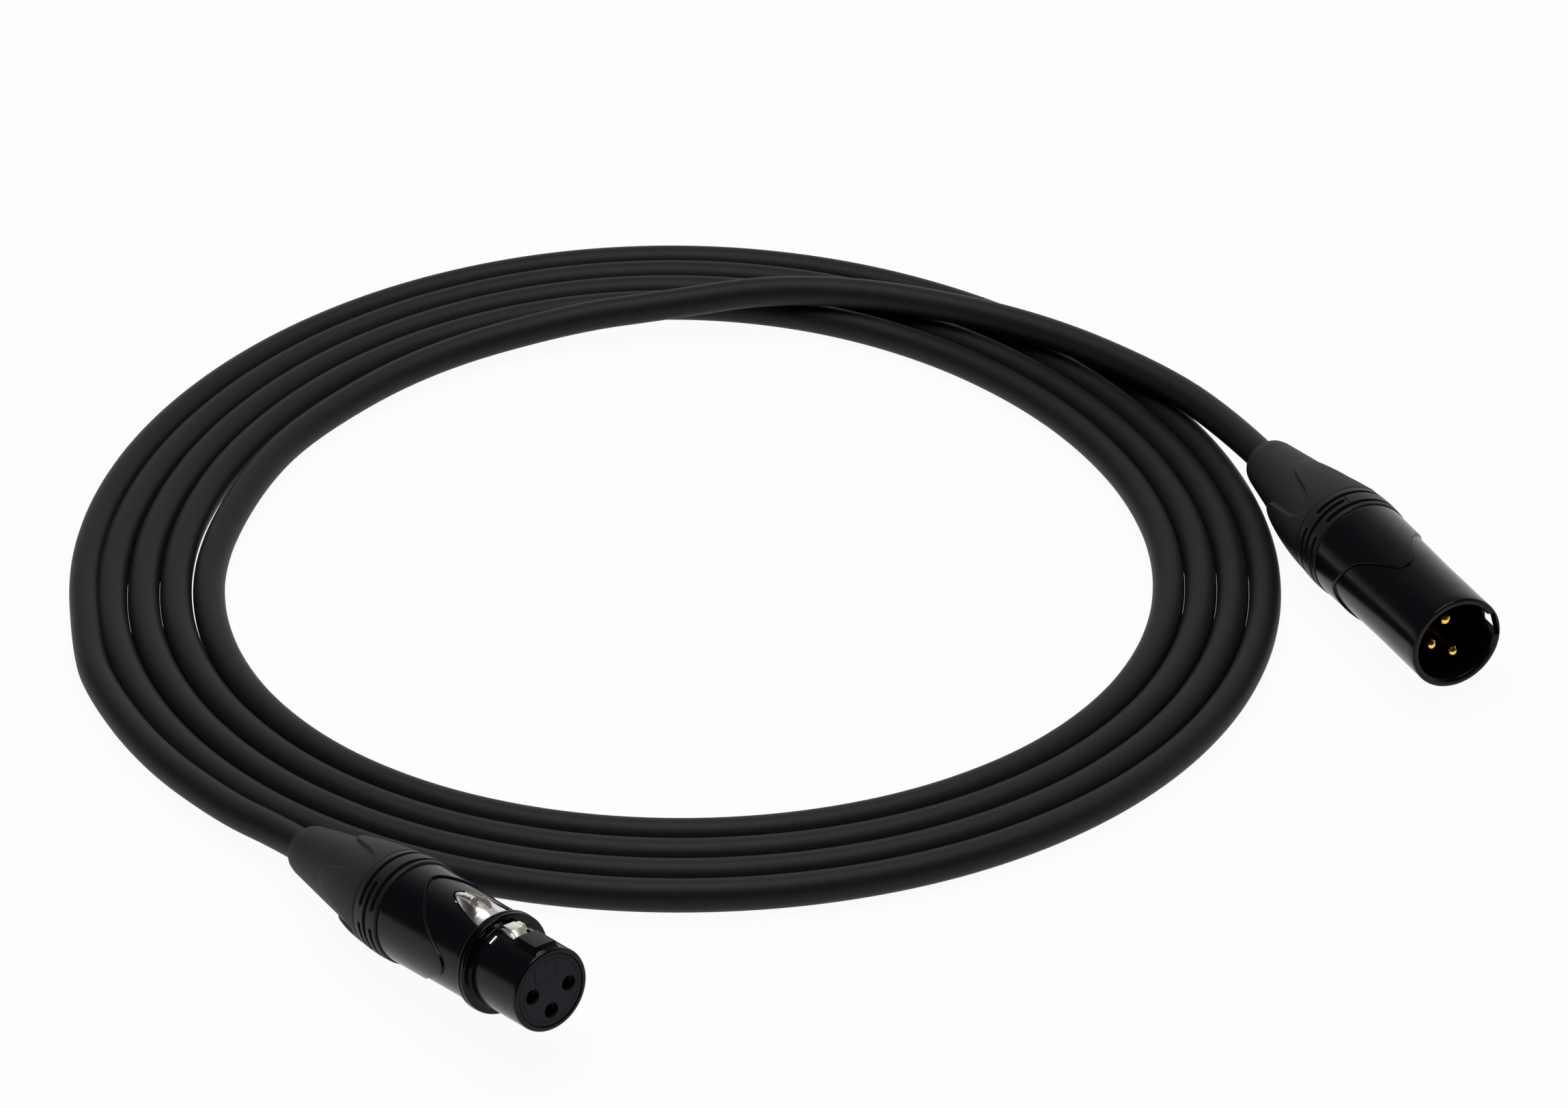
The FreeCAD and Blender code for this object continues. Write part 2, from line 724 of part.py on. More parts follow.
def make_pins():
    """Three gilt pins: domed tip, collar against the insert, solder cup behind it."""
    seat = "male_ledge - flange_thickness"
    cup_start = seat + " - collar_thickness - cup_depth"
    tip = "male_length - male_pin_setback"
    for number, (across, up) in enumerate(contacts["male"], start=1):
        body = new_body("male_pin_%d" % number, beside_axis(male, worth(across), worth(up)))
        turned(body, "pin", [
            (cup_start + " + cup_depth", "0"),
            (tip, "0"),
            (tip + " - 1*pin_radius", "pin_radius", (tip + " - 0.2929*pin_radius", "0.7071*pin_radius")),
            ("male_insert_end", "pin_radius"),
            ("male_insert_end", "pin_shank_radius"),
            (seat, "pin_shank_radius"),
            (seat, "pin_shank_radius + collar_width"),
            (seat + " - collar_thickness", "pin_shank_radius + collar_width"),
            (seat + " - collar_thickness", "cup_radius"),
            (cup_start, "cup_radius"),
            (cup_start, "cup_bore_radius"),
            (cup_start + " + cup_depth", "cup_bore_radius"),
        ])


def make_male_earth_ring():
    """Split spring ring on the insert's skirt that ties the shell to earth."""
    body = new_body("male_earth_ring", male)
    end = "male_ledge - flange_thickness"
    turned(body, "ring", [
        (end + " - earth_ring_width", "male_insert_radius + contact_clearance"),
        (end, "male_insert_radius + contact_clearance"),
        (end, "male_insert_radius + contact_clearance + earth_ring_thickness"),
        (end + " - earth_ring_width", "male_insert_radius + contact_clearance + earth_ring_thickness"),
    ])
    sketch = new_sketch(body, "split_outline", "YZ_Plane")
    outline(sketch, [
        ("- 0.5*earth_ring_gap", "- 1.5*male_insert_radius"),
        ("0.5*earth_ring_gap", "- 1.5*male_insert_radius"),
        ("0.5*earth_ring_gap", "- 0.5*male_insert_radius"),
        ("- 0.5*earth_ring_gap", "- 0.5*male_insert_radius"),
    ])
    pocketed(body, "split", sketch, "4*male_length")


def make_female_shell():
    """Shell of the socket plug: leaves over a plain body, a thin nose, and the latch's window."""
    body = new_body("female_shell", female)
    thread = "female_sleeve_radius + thread_clearance"
    bore = "female_insert_radius + sliding_clearance"
    leaf_mantle(body, "female", thread)
    turned(body, "tube", [
        ("female_ring_end", thread),
        ("female_ledge", thread),
        ("female_ledge", bore),
        ("female_length", bore),
        ("female_length", "female_nose_radius - chamfer"),
        ("female_length - chamfer", "female_nose_radius"),
        ("female_body_end", "female_nose_radius"),
        ("female_body_end", "female_body_radius"),
        ("female_leaf_tip", "female_body_radius + 0.1"),
        ("female_ring_end", "female_mantle_radius - female_leaf_thickness"),
    ])
    ridge = new_sketch(body, "ridge_outline", "YZ_Plane")
    ridge.AttachmentOffset = Placement(Vector(0, 0, worth("female_length - key_ridge_gap")), Rotation())
    ridge.setExpression("AttachmentOffset.Base.z", linked("female_length - key_ridge_gap"))
    outline(ridge, [
        ("- 0.5*key_ridge_width", "female_nose_radius - 0.8*female_nose_wall"),
        ("0.5*key_ridge_width", "female_nose_radius - 0.8*female_nose_wall"),
        ("0.5*key_ridge_width", "female_nose_radius + key_ridge_height"),
        ("- 0.5*key_ridge_width", "female_nose_radius + key_ridge_height"),
    ])
    length = "female_length - key_ridge_gap - latch_hook_start - latch_hook_length - 2*latch_gap"
    made = padded(body, "ridge", ridge, length, both_ways=False)
    made.Reversed = True
    window = new_sketch(body, "window_outline", "XY_Plane", lift=worth("latch_recess_floor"))
    window.setExpression("AttachmentOffset.Base.z", linked("latch_recess_floor"))
    wide = "latch_plate_half_width + latch_gap"
    narrow = "latch_knuckle_half_width + 4*latch_gap"
    outline(window, [
        ("female_body_end", "- latch_plate_half_width - latch_gap"),
        ("female_body_end", wide),
        ("latch_pivot", narrow),
        ("latch_pivot", "- latch_knuckle_half_width - 4*latch_gap",
         ("latch_pivot - latch_knuckle_radius - 3*latch_gap", "0")),
    ])
    pocketed(body, "window", window, str(0.5 * THROUGH), both_ways=False, upward=True)
    slot = new_sketch(body, "hook_slot_outline", "XY_Plane", lift=worth("latch_recess_floor"))
    slot.setExpression("AttachmentOffset.Base.z", linked("latch_recess_floor"))
    slot_end = "latch_hook_start + latch_hook_length + 2*latch_gap"
    outline(slot, [
        ("female_body_end - overcut", "- latch_arm_half_width - latch_gap"),
        (slot_end, "- latch_arm_half_width - latch_gap"),
        (slot_end, "latch_arm_half_width + latch_gap"),
        ("female_body_end - overcut", "latch_arm_half_width + latch_gap"),
    ])
    pocketed(body, "hook_slot", slot, str(0.5 * THROUGH), both_ways=False, upward=True)
    pivot = new_sketch(body, "pivot_outline", "XZ_Plane")
    circles(pivot, [("latch_pivot", "latch_pivot_height")], "latch_pin_radius")
    pocketed(body, "pivot_holes", pivot, "2*latch_pin_half_length")
    tab = new_sketch(body, "earth_slot_outline", "XZ_Plane", turn=worth("earth_angle"))
    start = "female_body_end + front_ring_width + earth_strip_setback - earth_slot_gap"
    end = start + " + earth_bump_length + 2*earth_slot_gap"
    outline(tab, [
        (start, "female_insert_radius - chamfer"),
        (end, "female_insert_radius - chamfer"),
        (end, "female_nose_radius + overcut"),
        (start, "female_nose_radius + overcut"),
    ])
    pocketed(body, "earth_slot", tab, "earth_strip_width + 2*earth_slot_gap")
    bed = new_sketch(body, "earth_bed_outline", "XZ_Plane", turn=worth("earth_angle"))
    start = "female_body_end + front_ring_width + earth_strip_setback - earth_strip_end_gap"
    end = start + " + earth_strip_length + 2*earth_strip_end_gap"
    outline(bed, [
        (start, "female_insert_radius - chamfer"),
        (end, "female_insert_radius - chamfer"),
        (end, bore + " + earth_strip_thickness + contact_clearance"),
        (start, bore + " + earth_strip_thickness + contact_clearance"),
    ])
    pocketed(body, "earth_bed", bed, "earth_strip_width + 2*earth_strip_side_gap")


def make_female_insert():
    """Plastic insert with the three socket holes, recessed under the latch."""
    body = new_body("female_insert", female)
    rear = "female_ledge - flange_thickness"
    skirt_start = "female_sleeve_end + clamp_flange_thickness"
    face = "female_length - face_setback"
    turned(body, "turning", [
        (rear, "0"),
        (face, "0"),
        (face, "female_insert_radius - chamfer"),
        (face + " - chamfer", "female_insert_radius"),
        ("female_ledge", "female_insert_radius"),
        ("female_ledge", "female_sleeve_radius"),
        (rear, "female_sleeve_radius"),
        (rear, "female_sleeve_radius - female_skirt_clearance"),
        (skirt_start, "female_sleeve_radius - female_skirt_clearance"),
        (skirt_start, "female_sleeve_radius - female_skirt_clearance - skirt_wall"),
        (rear, "female_sleeve_radius - female_skirt_clearance - skirt_wall"),
    ])
    hole = new_sketch(body, "holes_outline", "YZ_Plane", lift=worth(face))
    hole.setExpression("AttachmentOffset.Base.z", linked(face))
    circles(hole, contacts["female"], "socket_hole_radius")
    holes = pocketed(body, "holes", hole, "socket_setback", both_ways=False)
    holes.TaperAngle = -worth("socket_lead_angle")
    bind(holes, "TaperAngle", "socket_lead_angle", -1.0)
    bed = new_sketch(body, "beds_outline", "YZ_Plane")
    circles(bed, contacts["female"], "socket_radius + contact_clearance")
    pocketed(body, "beds", bed, "2*female_length - 2*face_setback - 2*socket_setback")
    recess = new_sketch(body, "recess_outline", "XY_Plane", lift=worth("latch_recess_floor"))
    recess.setExpression("AttachmentOffset.Base.z", linked("latch_recess_floor"))
    slot_end = "latch_hook_start + latch_hook_length + 2*latch_gap"
    outline(recess, [
        ("female_ledge", "- female_insert_radius"),
        ("female_body_end + front_ring_width", "- female_insert_radius"),
        ("female_body_end + front_ring_width", "- latch_arm_half_width - latch_gap"),
        (slot_end, "- latch_arm_half_width - latch_gap"),
        (slot_end, "latch_arm_half_width + latch_gap"),
        ("female_body_end + front_ring_width", "latch_arm_half_width + latch_gap"),
        ("female_body_end + front_ring_width", "female_insert_radius"),
        ("female_ledge", "female_insert_radius"),
    ])
    pocketed(body, "recess", recess, str(0.5 * THROUGH), both_ways=False, upward=True)


def make_sockets():
    """Three gilt sockets behind the face, with a collar against the insert and a solder cup."""
    seat = "female_ledge - flange_thickness"
    cup_start = seat + " - collar_thickness - cup_depth"
    front = "female_length - face_setback - socket_setback"
    for number, (across, up) in enumerate(contacts["female"], start=1):
        body = new_body("female_socket_%d" % number, beside_axis(female, worth(across), worth(up)))
        turned(body, "socket", [
            (cup_start + " + cup_depth", "0"),
            (front + " - socket_bore_depth", "0"),
            (front + " - socket_bore_depth", "socket_bore_radius"),
            (front, "socket_bore_radius"),
            (front, "socket_radius"),
            (seat, "socket_radius"),
            (seat, "socket_radius + collar_width"),
            (seat + " - collar_thickness", "socket_radius + collar_width"),
            (seat + " - collar_thickness", "cup_radius"),
            (cup_start, "cup_radius"),
            (cup_start, "cup_bore_radius"),
            (cup_start + " + cup_depth", "cup_bore_radius"),
        ])


def make_front_ring():
    """Ring round the foot of the nose, which closes the latch's window at the front."""
    body = new_body("female_front_ring", female)
    end = "female_body_end + front_ring_width"
    turned(body, "ring", [
        ("female_body_end", "female_nose_radius"),
        (end, "female_nose_radius"),
        (end, "front_ring_radius - chamfer"),
        (end + " - chamfer", "front_ring_radius"),
        ("female_body_end + chamfer", "front_ring_radius"),
        ("female_body_end", "front_ring_radius - chamfer"),
    ])


def make_earth_spring():
    """Spring strip inside the nose whose bump stands through it and touches the mating shell."""
    turn = Placement(Vector(), Rotation(Vector(1, 0, 0), worth("earth_angle")))
    body = new_body("female_earth_spring", female.multiply(turn))
    start = "female_body_end + front_ring_width + earth_strip_setback"
    floor = "female_insert_radius + sliding_clearance"
    top = floor + " + earth_strip_thickness"
    sketch = new_sketch(body, "strip_outline", "XZ_Plane")
    outline(sketch, [
        (start, floor),
        (start + " + earth_strip_length", floor),
        (start + " + earth_strip_length", top),
        (start + " + earth_bump_length", top),
        (start + " + earth_bump_length - earth_strip_thickness", "female_nose_radius + earth_bump_proud"),
        (start + " + earth_strip_thickness", "female_nose_radius + earth_bump_proud"),
        (start, "female_nose_radius + earth_bump_proud - earth_strip_thickness"),
    ])
    padded(body, "strip", sketch, "earth_strip_width")


def make_latch():
    """Latch lever on its hinge pin: knuckle, thumb plate, arm under the front ring, and hook."""
    body = new_body("latch_lever", female)
    side = new_sketch(body, "arm_outline", "XZ_Plane")
    hook_end = "latch_hook_start + latch_hook_length"
    plate_front = "female_body_end - latch_gap"
    outline(side, [
        ("latch_pivot", "latch_plate_bottom"),
        (hook_end, "latch_plate_bottom"),
        (hook_end, "female_nose_radius"),
        (hook_end + " - latch_hook_slope", "female_nose_radius + latch_hook_proud"),
        ("latch_hook_start", "female_nose_radius + latch_hook_proud"),
        ("latch_hook_start", "latch_arm_top"),
        ("latch_pivot", "latch_arm_top"),
    ])
    padded(body, "arm", side, "2*latch_arm_half_width")
    plate = new_sketch(body, "plate_outline", "XY_Plane", lift=worth("latch_plate_bottom"))
    plate.setExpression("AttachmentOffset.Base.z", linked("latch_plate_bottom"))
    outline(plate, [
        (plate_front, "- latch_plate_half_width"),
        (plate_front, "latch_plate_half_width"),
        ("latch_pivot", "latch_knuckle_half_width"),
        ("latch_pivot", "- latch_knuckle_half_width"),
    ])
    padded(body, "plate", plate, "latch_plate_top - latch_plate_bottom", both_ways=False)
    sides = new_sketch(body, "narrow_outline", "XY_Plane", lift=worth("latch_recess_floor"))
    sides.setExpression("AttachmentOffset.Base.z", linked("latch_recess_floor"))
    outline(sides, [
        ("latch_pivot - 2*overcut", "latch_knuckle_half_width"),
        ("latch_pivot", "latch_knuckle_half_width"),
        (plate_front, "latch_plate_half_width"),
        (plate_front, "3*latch_plate_half_width"),
        ("latch_pivot - 2*overcut", "3*latch_plate_half_width"),
    ])
    pocketed(body, "left_side", sides, str(0.5 * THROUGH), both_ways=False, upward=True)
    sides = new_sketch(body, "other_narrow_outline", "XY_Plane", lift=worth("latch_recess_floor"))
    sides.setExpression("AttachmentOffset.Base.z", linked("latch_recess_floor"))
    outline(sides, [
        ("latch_pivot - 2*overcut", "- latch_knuckle_half_width"),
        ("latch_pivot - 2*overcut", "- 3*latch_plate_half_width"),
        (plate_front, "- 3*latch_plate_half_width"),
        (plate_front, "- latch_plate_half_width"),
        ("latch_pivot", "- latch_knuckle_half_width"),
    ])
    pocketed(body, "right_side", sides, str(0.5 * THROUGH), both_ways=False, upward=True)
    knuckle = new_sketch(body, "knuckle_outline", "XZ_Plane")
    circles(knuckle, [("latch_pivot", "latch_pivot_height")], "latch_knuckle_radius")
    padded(body, "knuckle", knuckle, "2*latch_knuckle_half_width")
    hole = new_sketch(body, "pin_hole_outline", "XZ_Plane")
    circles(hole, [("latch_pivot", "latch_pivot_height")], "latch_pin_radius + latch_running_fit")
    pocketed(body, "pin_hole", hole, str(THROUGH))

    pin = new_body("latch_pin", female)
    sketch = new_sketch(pin, "pin_outline", "XZ_Plane")
    circles(sketch, [("latch_pivot", "latch_pivot_height")], "latch_pin_radius")
    padded(pin, "pin", sketch, "2*latch_pin_half_length")

    spring = new_body("latch_spring", female)
    leaf = new_sketch(spring, "leaf_outline", "XZ_Plane")
    thickness = "latch_spring_thickness"
    outline(leaf, [
        ("latch_spring_foot", "latch_recess_floor"),
        ("latch_spring_bend", "latch_recess_floor"),
        ("latch_spring_tip", "latch_plate_bottom - " + thickness),
        ("latch_spring_tip", "latch_plate_bottom"),
        ("latch_spring_tip - latch_spring_tip_length", "latch_plate_bottom"),
        ("latch_spring_bend - 0.4*" + thickness, "latch_recess_floor + " + thickness),
        ("latch_spring_foot", "latch_recess_floor + " + thickness),
    ])
    padded(spring, "leaf", leaf, "latch_spring_width")


# Paths: biarcs for the coil, straight runs joined by tangent arcs for the free cable
def arc_to(start, corner, finish):
    """Arc from start to finish that is tangent to both lines through the corner."""
    chord = finish - start
    middle = (start + finish) * 0.5
    turn = (corner - start).getAngle(chord)
    middle = middle + (corner - middle) * (math.tan(turn / 2) / math.tan(turn))
    return Part.Arc(start, middle, finish).toShape()


def biarc(start, heading, finish, end_heading):
    """Two arcs that leave start along heading and reach finish along end_heading."""
    gap = finish - start
    both = heading + end_heading
    spread = 2 * (1 - heading.dot(end_heading))
    along = gap.dot(both)
    reach = (-along + math.sqrt(along ** 2 + spread * gap.dot(gap))) / spread
    first_corner = start + heading * reach
    second_corner = finish - end_heading * reach
    join = (first_corner + second_corner) * 0.5
    return [arc_to(start, first_corner, join), arc_to(join, second_corner, finish)]


def coil_point(turns, height):
    """Point of the coil's middle line after so many turns, clockwise from above and inwards."""
    swept = math.tau * turns
    radius = worth("coil_radius") - worth("turn_step") * turns
    radius -= worth("turn_step_swell") * math.cos(2 * swept) * turns
    radius += worth("coil_lean_along") * math.cos(swept) + worth("coil_lean_across") * math.sin(swept)
    radius += worth("coil_oval_along") * math.cos(2 * swept)
    radius += worth("coil_oval_across") * math.sin(2 * swept)
    radius += worth("coil_egg_along") * math.cos(3 * swept)
    radius += worth("coil_egg_across") * math.sin(3 * swept)
    late = max(0.0, 4 * (turns - worth("coil_turns")) + 1)
    radius -= worth("coil_end_drift") * late ** 2
    angle = math.radians(worth("coil_start_angle")) - swept
    return Vector(radius * math.cos(angle), radius * math.sin(angle), height)


def coil_heading(turns):
    """Direction of the coil's middle line after so many turns."""
    step = 0.0005
    return (coil_point(turns + step, 0) - coil_point(turns - step, 0)).normalize()


def softened(points):
    """Runs between points, each corner an arc of 0.45 of its shorter run; prints the radii."""
    edges = []
    radii = []
    last = points[0]
    for before, corner, after in zip(points, points[1:], points[2:]):
        into = (before - corner).normalize()
        out = (after - corner).normalize()
        reach = 0.45 * min((before - corner).Length, (after - corner).Length)
        start = corner + into * reach
        finish = corner + out * reach
        edges.append(Part.LineSegment(last, start).toShape())
        edges.append(arc_to(start, corner, finish))
        turn = math.pi - into.getAngle(out)
        radii.append(reach / math.tan(turn / 2))
        last = finish
    edges.append(Part.LineSegment(last, points[-1]).toShape())
    return edges, radii


def tube(edges, start, heading, radius):
    """Pipe of one radius along a path of edges."""
    path = Part.Wire(edges)
    ring = Part.Wire([Part.Circle(start, heading, radius).toShape()])
    return path, path.makePipeShell([ring], True, False)


def flat_below(shape):
    """The shape cut flat at the surface that it lies on."""
    box = shape.BoundBox
    floor = Part.makeBox(box.XLength + 2, box.YLength + 2, worth("cable_diameter"),
                         Vector(box.XMin - 1, box.YMin - 1, -worth("cable_diameter")))
    return shape.cut(floor)


def new_feature(label, shape):
    """A piece whose shape is made in code."""
    piece = doc.addObject("Part::Feature", label)
    piece.Label = label
    piece.Shape = shape
    piece.Placement = Placement()
    pieces[label] = piece
    return piece


def report_tube(label, path, solid, radius):
    """Prints a tube's volume beside its section times its length."""
    print("%s: length %.1f mm, volume %.1f mm3, section x length %.1f mm3"
          % (label, path.Length, solid.Volume, math.pi * radius ** 2 * path.Length))


cable_radius = worth("0.5*cable_diameter")
flat_height = worth("0.5*cable_diameter - floor_cut")


def make_coil():
    """The wound turns as one unbroken tube, flat where they lie on the surface."""
    turns = int(worth("coil_turns"))
    start, heading = coil_point(0, flat_height), coil_heading(0)
    finish, end_heading = coil_point(turns, flat_height), coil_heading(turns)
    straight = worth("cable_diameter")
    edges = [Part.LineSegment(start - heading * straight, start).toShape()]
    for quarter in range(4 * turns):
        here, there = quarter / 4, (quarter + 1) / 4
        edges += biarc(coil_point(here, flat_height), coil_heading(here),
                       coil_point(there, flat_height), coil_heading(there))
    edges.append(Part.LineSegment(finish, finish + end_heading * straight).toShape())
    path, solid = tube(edges, start - heading * straight, heading, cable_radius)
    report_tube("cable_coil", path, solid, cable_radius)
    new_feature("cable_coil", flat_below(solid))
    samples = path.discretize(Distance=2.0)
    near = int(0.4 * math.tau * worth("coil_radius") / 2.0)
    least = min((samples[i] - samples[j]).Length for i in range(0, len(samples), 3)
                for j in range(i + near, len(samples)))
    print("cable_coil: least gap to itself %.2f mm" % (least - 2 * cable_radius))
    ends = (start - heading * straight, heading, finish + end_heading * straight, end_heading)
    return ends, path.Length


# Free cable, from the rear of each boot to the coil: points chosen by hand, each with its angle round the
# coil, how far it lies beyond the outer turn, or beyond the inner end, and its lift in cable diameters
FEMALE_TAIL = [
    (-68.8, 3.25, 0.20, False),
    (-80.3, 4.05, 0.04, False),
    (-92.8, 3.85, 0.0, False),
]
MALE_TAIL = [
    (227.2, -0.55, 0.12, True),
    (213.2, -0.15, 0.38, True),
    (192.2, 2.05, 0.78, True),
    (171.2, 4.05, 1.15, True),
    (151.2, -20.25, 1.18, False),
    (131.2, -16.15, 1.15, False),
    (112.7, -11.35, 1.15, False),
    (95.7, -5.15, 1.15, False),
]


def tail_points(rows):
    """The chosen points of a free length as places."""
    return [round_coil(angle, beyond, flat_height + lift * worth("cable_diameter"), inner)
            for angle, beyond, lift, inner in rows]


def make_tail(label, points):
    """One free length of cable as a tube through its points."""
    edges, radii = softened(points)
    heading = (points[1] - points[0]).normalize()
    path, solid = tube(edges, points[0], heading, cable_radius)
    report_tube(label, path, solid, cable_radius)
    print("%s: arc radii %s mm" % (label, " ".join("%.0f" % radius for radius in radii)))
    new_feature(label, flat_below(solid))
    return path.Length


def make_core_wires(side):
    """Three core wires from the end of the jacket into the solder cups."""
    names = ("shield_wire", "hot_wire", "cold_wire")
    seat = side + "_ledge - flange_thickness - collar_thickness"
    cup_start = worth(seat + " - cup_depth")
    jacket_end = worth(side + "_jacket_end")
    near = worth("core_wire_offset") / worth("contact_circle_radius")
    lead = worth("core_wire_lead")
    for name, (across, up) in zip(names, contacts[side]):
        spot = Vector(0, worth(across), worth(up))
        points = [
            Vector(jacket_end, 0, 0) + spot * near,
            Vector(jacket_end + lead, 0, 0) + spot * near,
            Vector(cup_start - lead, 0, 0) + spot,
            Vector(cup_start + worth("cup_depth - core_wire_end_gap"), 0, 0) + spot,
        ]
        edges, radii = softened(points)
        path, solid = tube(edges, points[0], Vector(1, 0, 0), worth("core_wire_radius"))
        piece = new_feature(side + "_" + name, solid)
        piece.Placement = plugs[side]


for plug_side in ("male", "female"):
    make_boot(plug_side)
    make_bushing(plug_side)
    make_clamp(plug_side)
    make_jacket_end(plug_side)
    make_core_wires(plug_side)
make_male_shell()
make_male_insert()
make_pins()
make_male_earth_ring()
make_female_shell()
make_female_insert()
make_sockets()
make_front_ring()
make_earth_spring()
make_latch()
coil_ends, coil_length = make_coil()


def boot_points(side, run):
    """Rear of a boot, and the point straight behind it."""
    place = plugs[side]
    return [place.multVec(Vector(0, 0, 0)), place.multVec(Vector(-worth(run), 0, 0))]


female_route = boot_points("female", "female_exit_run") + tail_points(FEMALE_TAIL)
female_route += [coil_ends[0] - coil_ends[1] * worth("coil_outer_exit_run"), coil_ends[0]]
male_route = [coil_ends[2], coil_ends[2] + coil_ends[3] * worth("coil_inner_exit_run")]
male_route += tail_points(MALE_TAIL) + boot_points("male", "male_exit_run")[::-1]
total = coil_length
total += make_tail("cable_tail_female", female_route)
total += make_tail("cable_tail_male", male_route)
total += worth("male_jacket_end") + worth("female_jacket_end")
print("cable: %.0f mm from jacket end to jacket end" % total)

doc.recompute()
for item in doc.Objects:
    if "Invalid" in item.State or "Error" in item.State:
        raise RuntimeError("failed: %s %s" % (item.Label, item.State))
for label, piece in pieces.items():
    if piece.Shape.isNull() or not piece.Shape.isValid():
        raise RuntimeError("bad shape: " + label)
    if len(piece.Shape.Solids) != 1:
        raise RuntimeError("%s has %d solids" % (label, len(piece.Shape.Solids)))
for label, piece in pieces.items():
    piece.Shape.exportStep("parts/" + label + ".step")
lowest = min((piece.Shape.BoundBox.ZMin, label) for label, piece in pieces.items())
print("lowest piece: %s at %.3f mm; rears at %.3f and %.3f mm"
      % (lowest[1], lowest[0], male.Base.z, female.Base.z))
print("%d pieces" % len(pieces))
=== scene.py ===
# %% [markdown]
# A black microphone cable, about three metres long, wound by hand into a flat round coil. One end has a
# plug with three gilt pins, the other a plug with three sockets and a chromed latch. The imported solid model
# is the frame here: every piece of this scene rides on one of its bodies and stays inside its box.

# %% Load the frame
import json
import math

import bmesh
import bpy
import numpy as np
from mathutils import Matrix, Vector


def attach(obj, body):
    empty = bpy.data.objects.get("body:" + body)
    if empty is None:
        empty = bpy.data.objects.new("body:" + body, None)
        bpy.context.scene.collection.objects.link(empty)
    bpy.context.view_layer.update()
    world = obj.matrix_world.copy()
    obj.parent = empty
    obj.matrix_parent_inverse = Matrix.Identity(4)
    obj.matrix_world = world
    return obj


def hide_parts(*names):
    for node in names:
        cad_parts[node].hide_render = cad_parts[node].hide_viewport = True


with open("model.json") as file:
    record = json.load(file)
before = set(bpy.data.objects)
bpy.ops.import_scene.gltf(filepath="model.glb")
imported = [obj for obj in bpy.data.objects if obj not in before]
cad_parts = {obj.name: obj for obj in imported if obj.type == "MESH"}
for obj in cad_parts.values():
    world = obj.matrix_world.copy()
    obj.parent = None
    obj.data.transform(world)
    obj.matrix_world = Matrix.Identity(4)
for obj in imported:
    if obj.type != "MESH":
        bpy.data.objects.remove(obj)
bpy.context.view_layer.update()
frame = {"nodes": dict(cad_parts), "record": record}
MM = 0.001

# %% [markdown]
# Two plugs lie at the rim of the coil, each turned its own way. Shapes are drawn in a plug's own frame, in
# millimetres: along from the rear of the boot to the mouth, across to the left, and up towards the key.
# One matrix for each plug then carries the points to where that plug lies.

# %% Where the two plugs lie
def plug_frame(rear, azimuth, nose_up, roll):
    """Matrix from a plug's own frame to the scene's; rear in millimetres, turns in degrees."""
    turn = Matrix.Rotation(math.radians(azimuth), 4, "Z")
    turn = turn @ Matrix.Rotation(math.radians(-nose_up), 4, "Y")
    turn = turn @ Matrix.Rotation(math.radians(roll), 4, "X")
    return Matrix.Translation(Vector(rear) * MM) @ turn


PIN_PLUG = plug_frame((24.556, 117.134, 9.436), -0.5, 2.0, -75.0)
SOCKET_PLUG = plug_frame((63.795, -105.338, 6.142), 15.5, 7.3, -5.0)


def on_axis(plug, along):
    """The scene's point on a plug's axis, so many millimetres from its rear."""
    return plug @ Vector((along * MM, 0.0, 0.0))


# %% [markdown]
# The photograph was taken from well away with a long lens, so the far side of the coil is hardly smaller
# than the near side. A camera 1.2 m away with a 138 mm lens on a 36 mm sensor gives the same perspective.

# %% Camera
lens = bpy.data.cameras.new("photo_camera")
lens.lens = 137.9
lens.sensor_width = 36.0
lens.clip_start = 0.05
camera = bpy.data.objects.new("photo_camera", lens)
camera.location = (0.9159, -0.4018, 0.6536)
camera.rotation_euler = (math.radians(57.0), 0.0, math.radians(65.2))
bpy.context.scene.collection.objects.link(camera)
bpy.context.scene.camera = camera
bpy.context.scene.view_settings.view_transform = "Standard"

# %% [markdown]
# The cable is one soft length, so it is one curve with a round bevel, from the boot of the socket plug,
# round the coil four times, and back over the turns to the boot of the pin plug. A NURBS curve of order 3
# glides past its control points, which suits a cable that springs back against a tight bend. The turns are
# not true circles: the cable keeps some of the shape of the hand that wound it.

# %% The cable's route
CABLE = 6.3
FLOOR_HEIGHT = 0.5 * CABLE
TURNS = 4
POINTS_PER_TURN = 24
COIL_START = 245.2
OUTER_RADIUS = 118.5
TURN_STEP = 6.33


def coil_point(turns):
    """Middle line of the coil in millimetres, after so many turns, clockwise from above and inwards."""
    swept = math.tau * turns
    radius = OUTER_RADIUS - TURN_STEP * turns
    off_centre = 1.46 * math.cos(swept) - 0.65 * math.sin(swept)
    oval = 0.94 * math.sin(2 * swept)
    three_sided = -0.4 * math.cos(3 * swept) - 1.47 * math.sin(3 * swept)
    drawn_in_at_start = 100.0 * max(0.0, 0.09 - turns) ** 2
    drawn_in_at_end = 0.2 * max(0.0, 4 * (turns - TURNS) + 1) ** 2
    radius += off_centre + oval + three_sided - drawn_in_at_start - drawn_in_at_end
    radius /= math.cos(math.pi / POINTS_PER_TURN)
    angle = math.radians(COIL_START) - swept
    return (radius * math.cos(angle), radius * math.sin(angle), FLOOR_HEIGHT)


def round_coil(angle, radius, height):
    """Point at an angle and a radius round the coil, in millimetres."""
    return (radius * math.cos(math.radians(angle)), radius * math.sin(math.radians(angle)), height)


def behind(plug, distance):
    """Point behind a plug's boot in millimetres, on the plug's own axis."""
    return tuple(on_axis(plug, -distance) / MM)


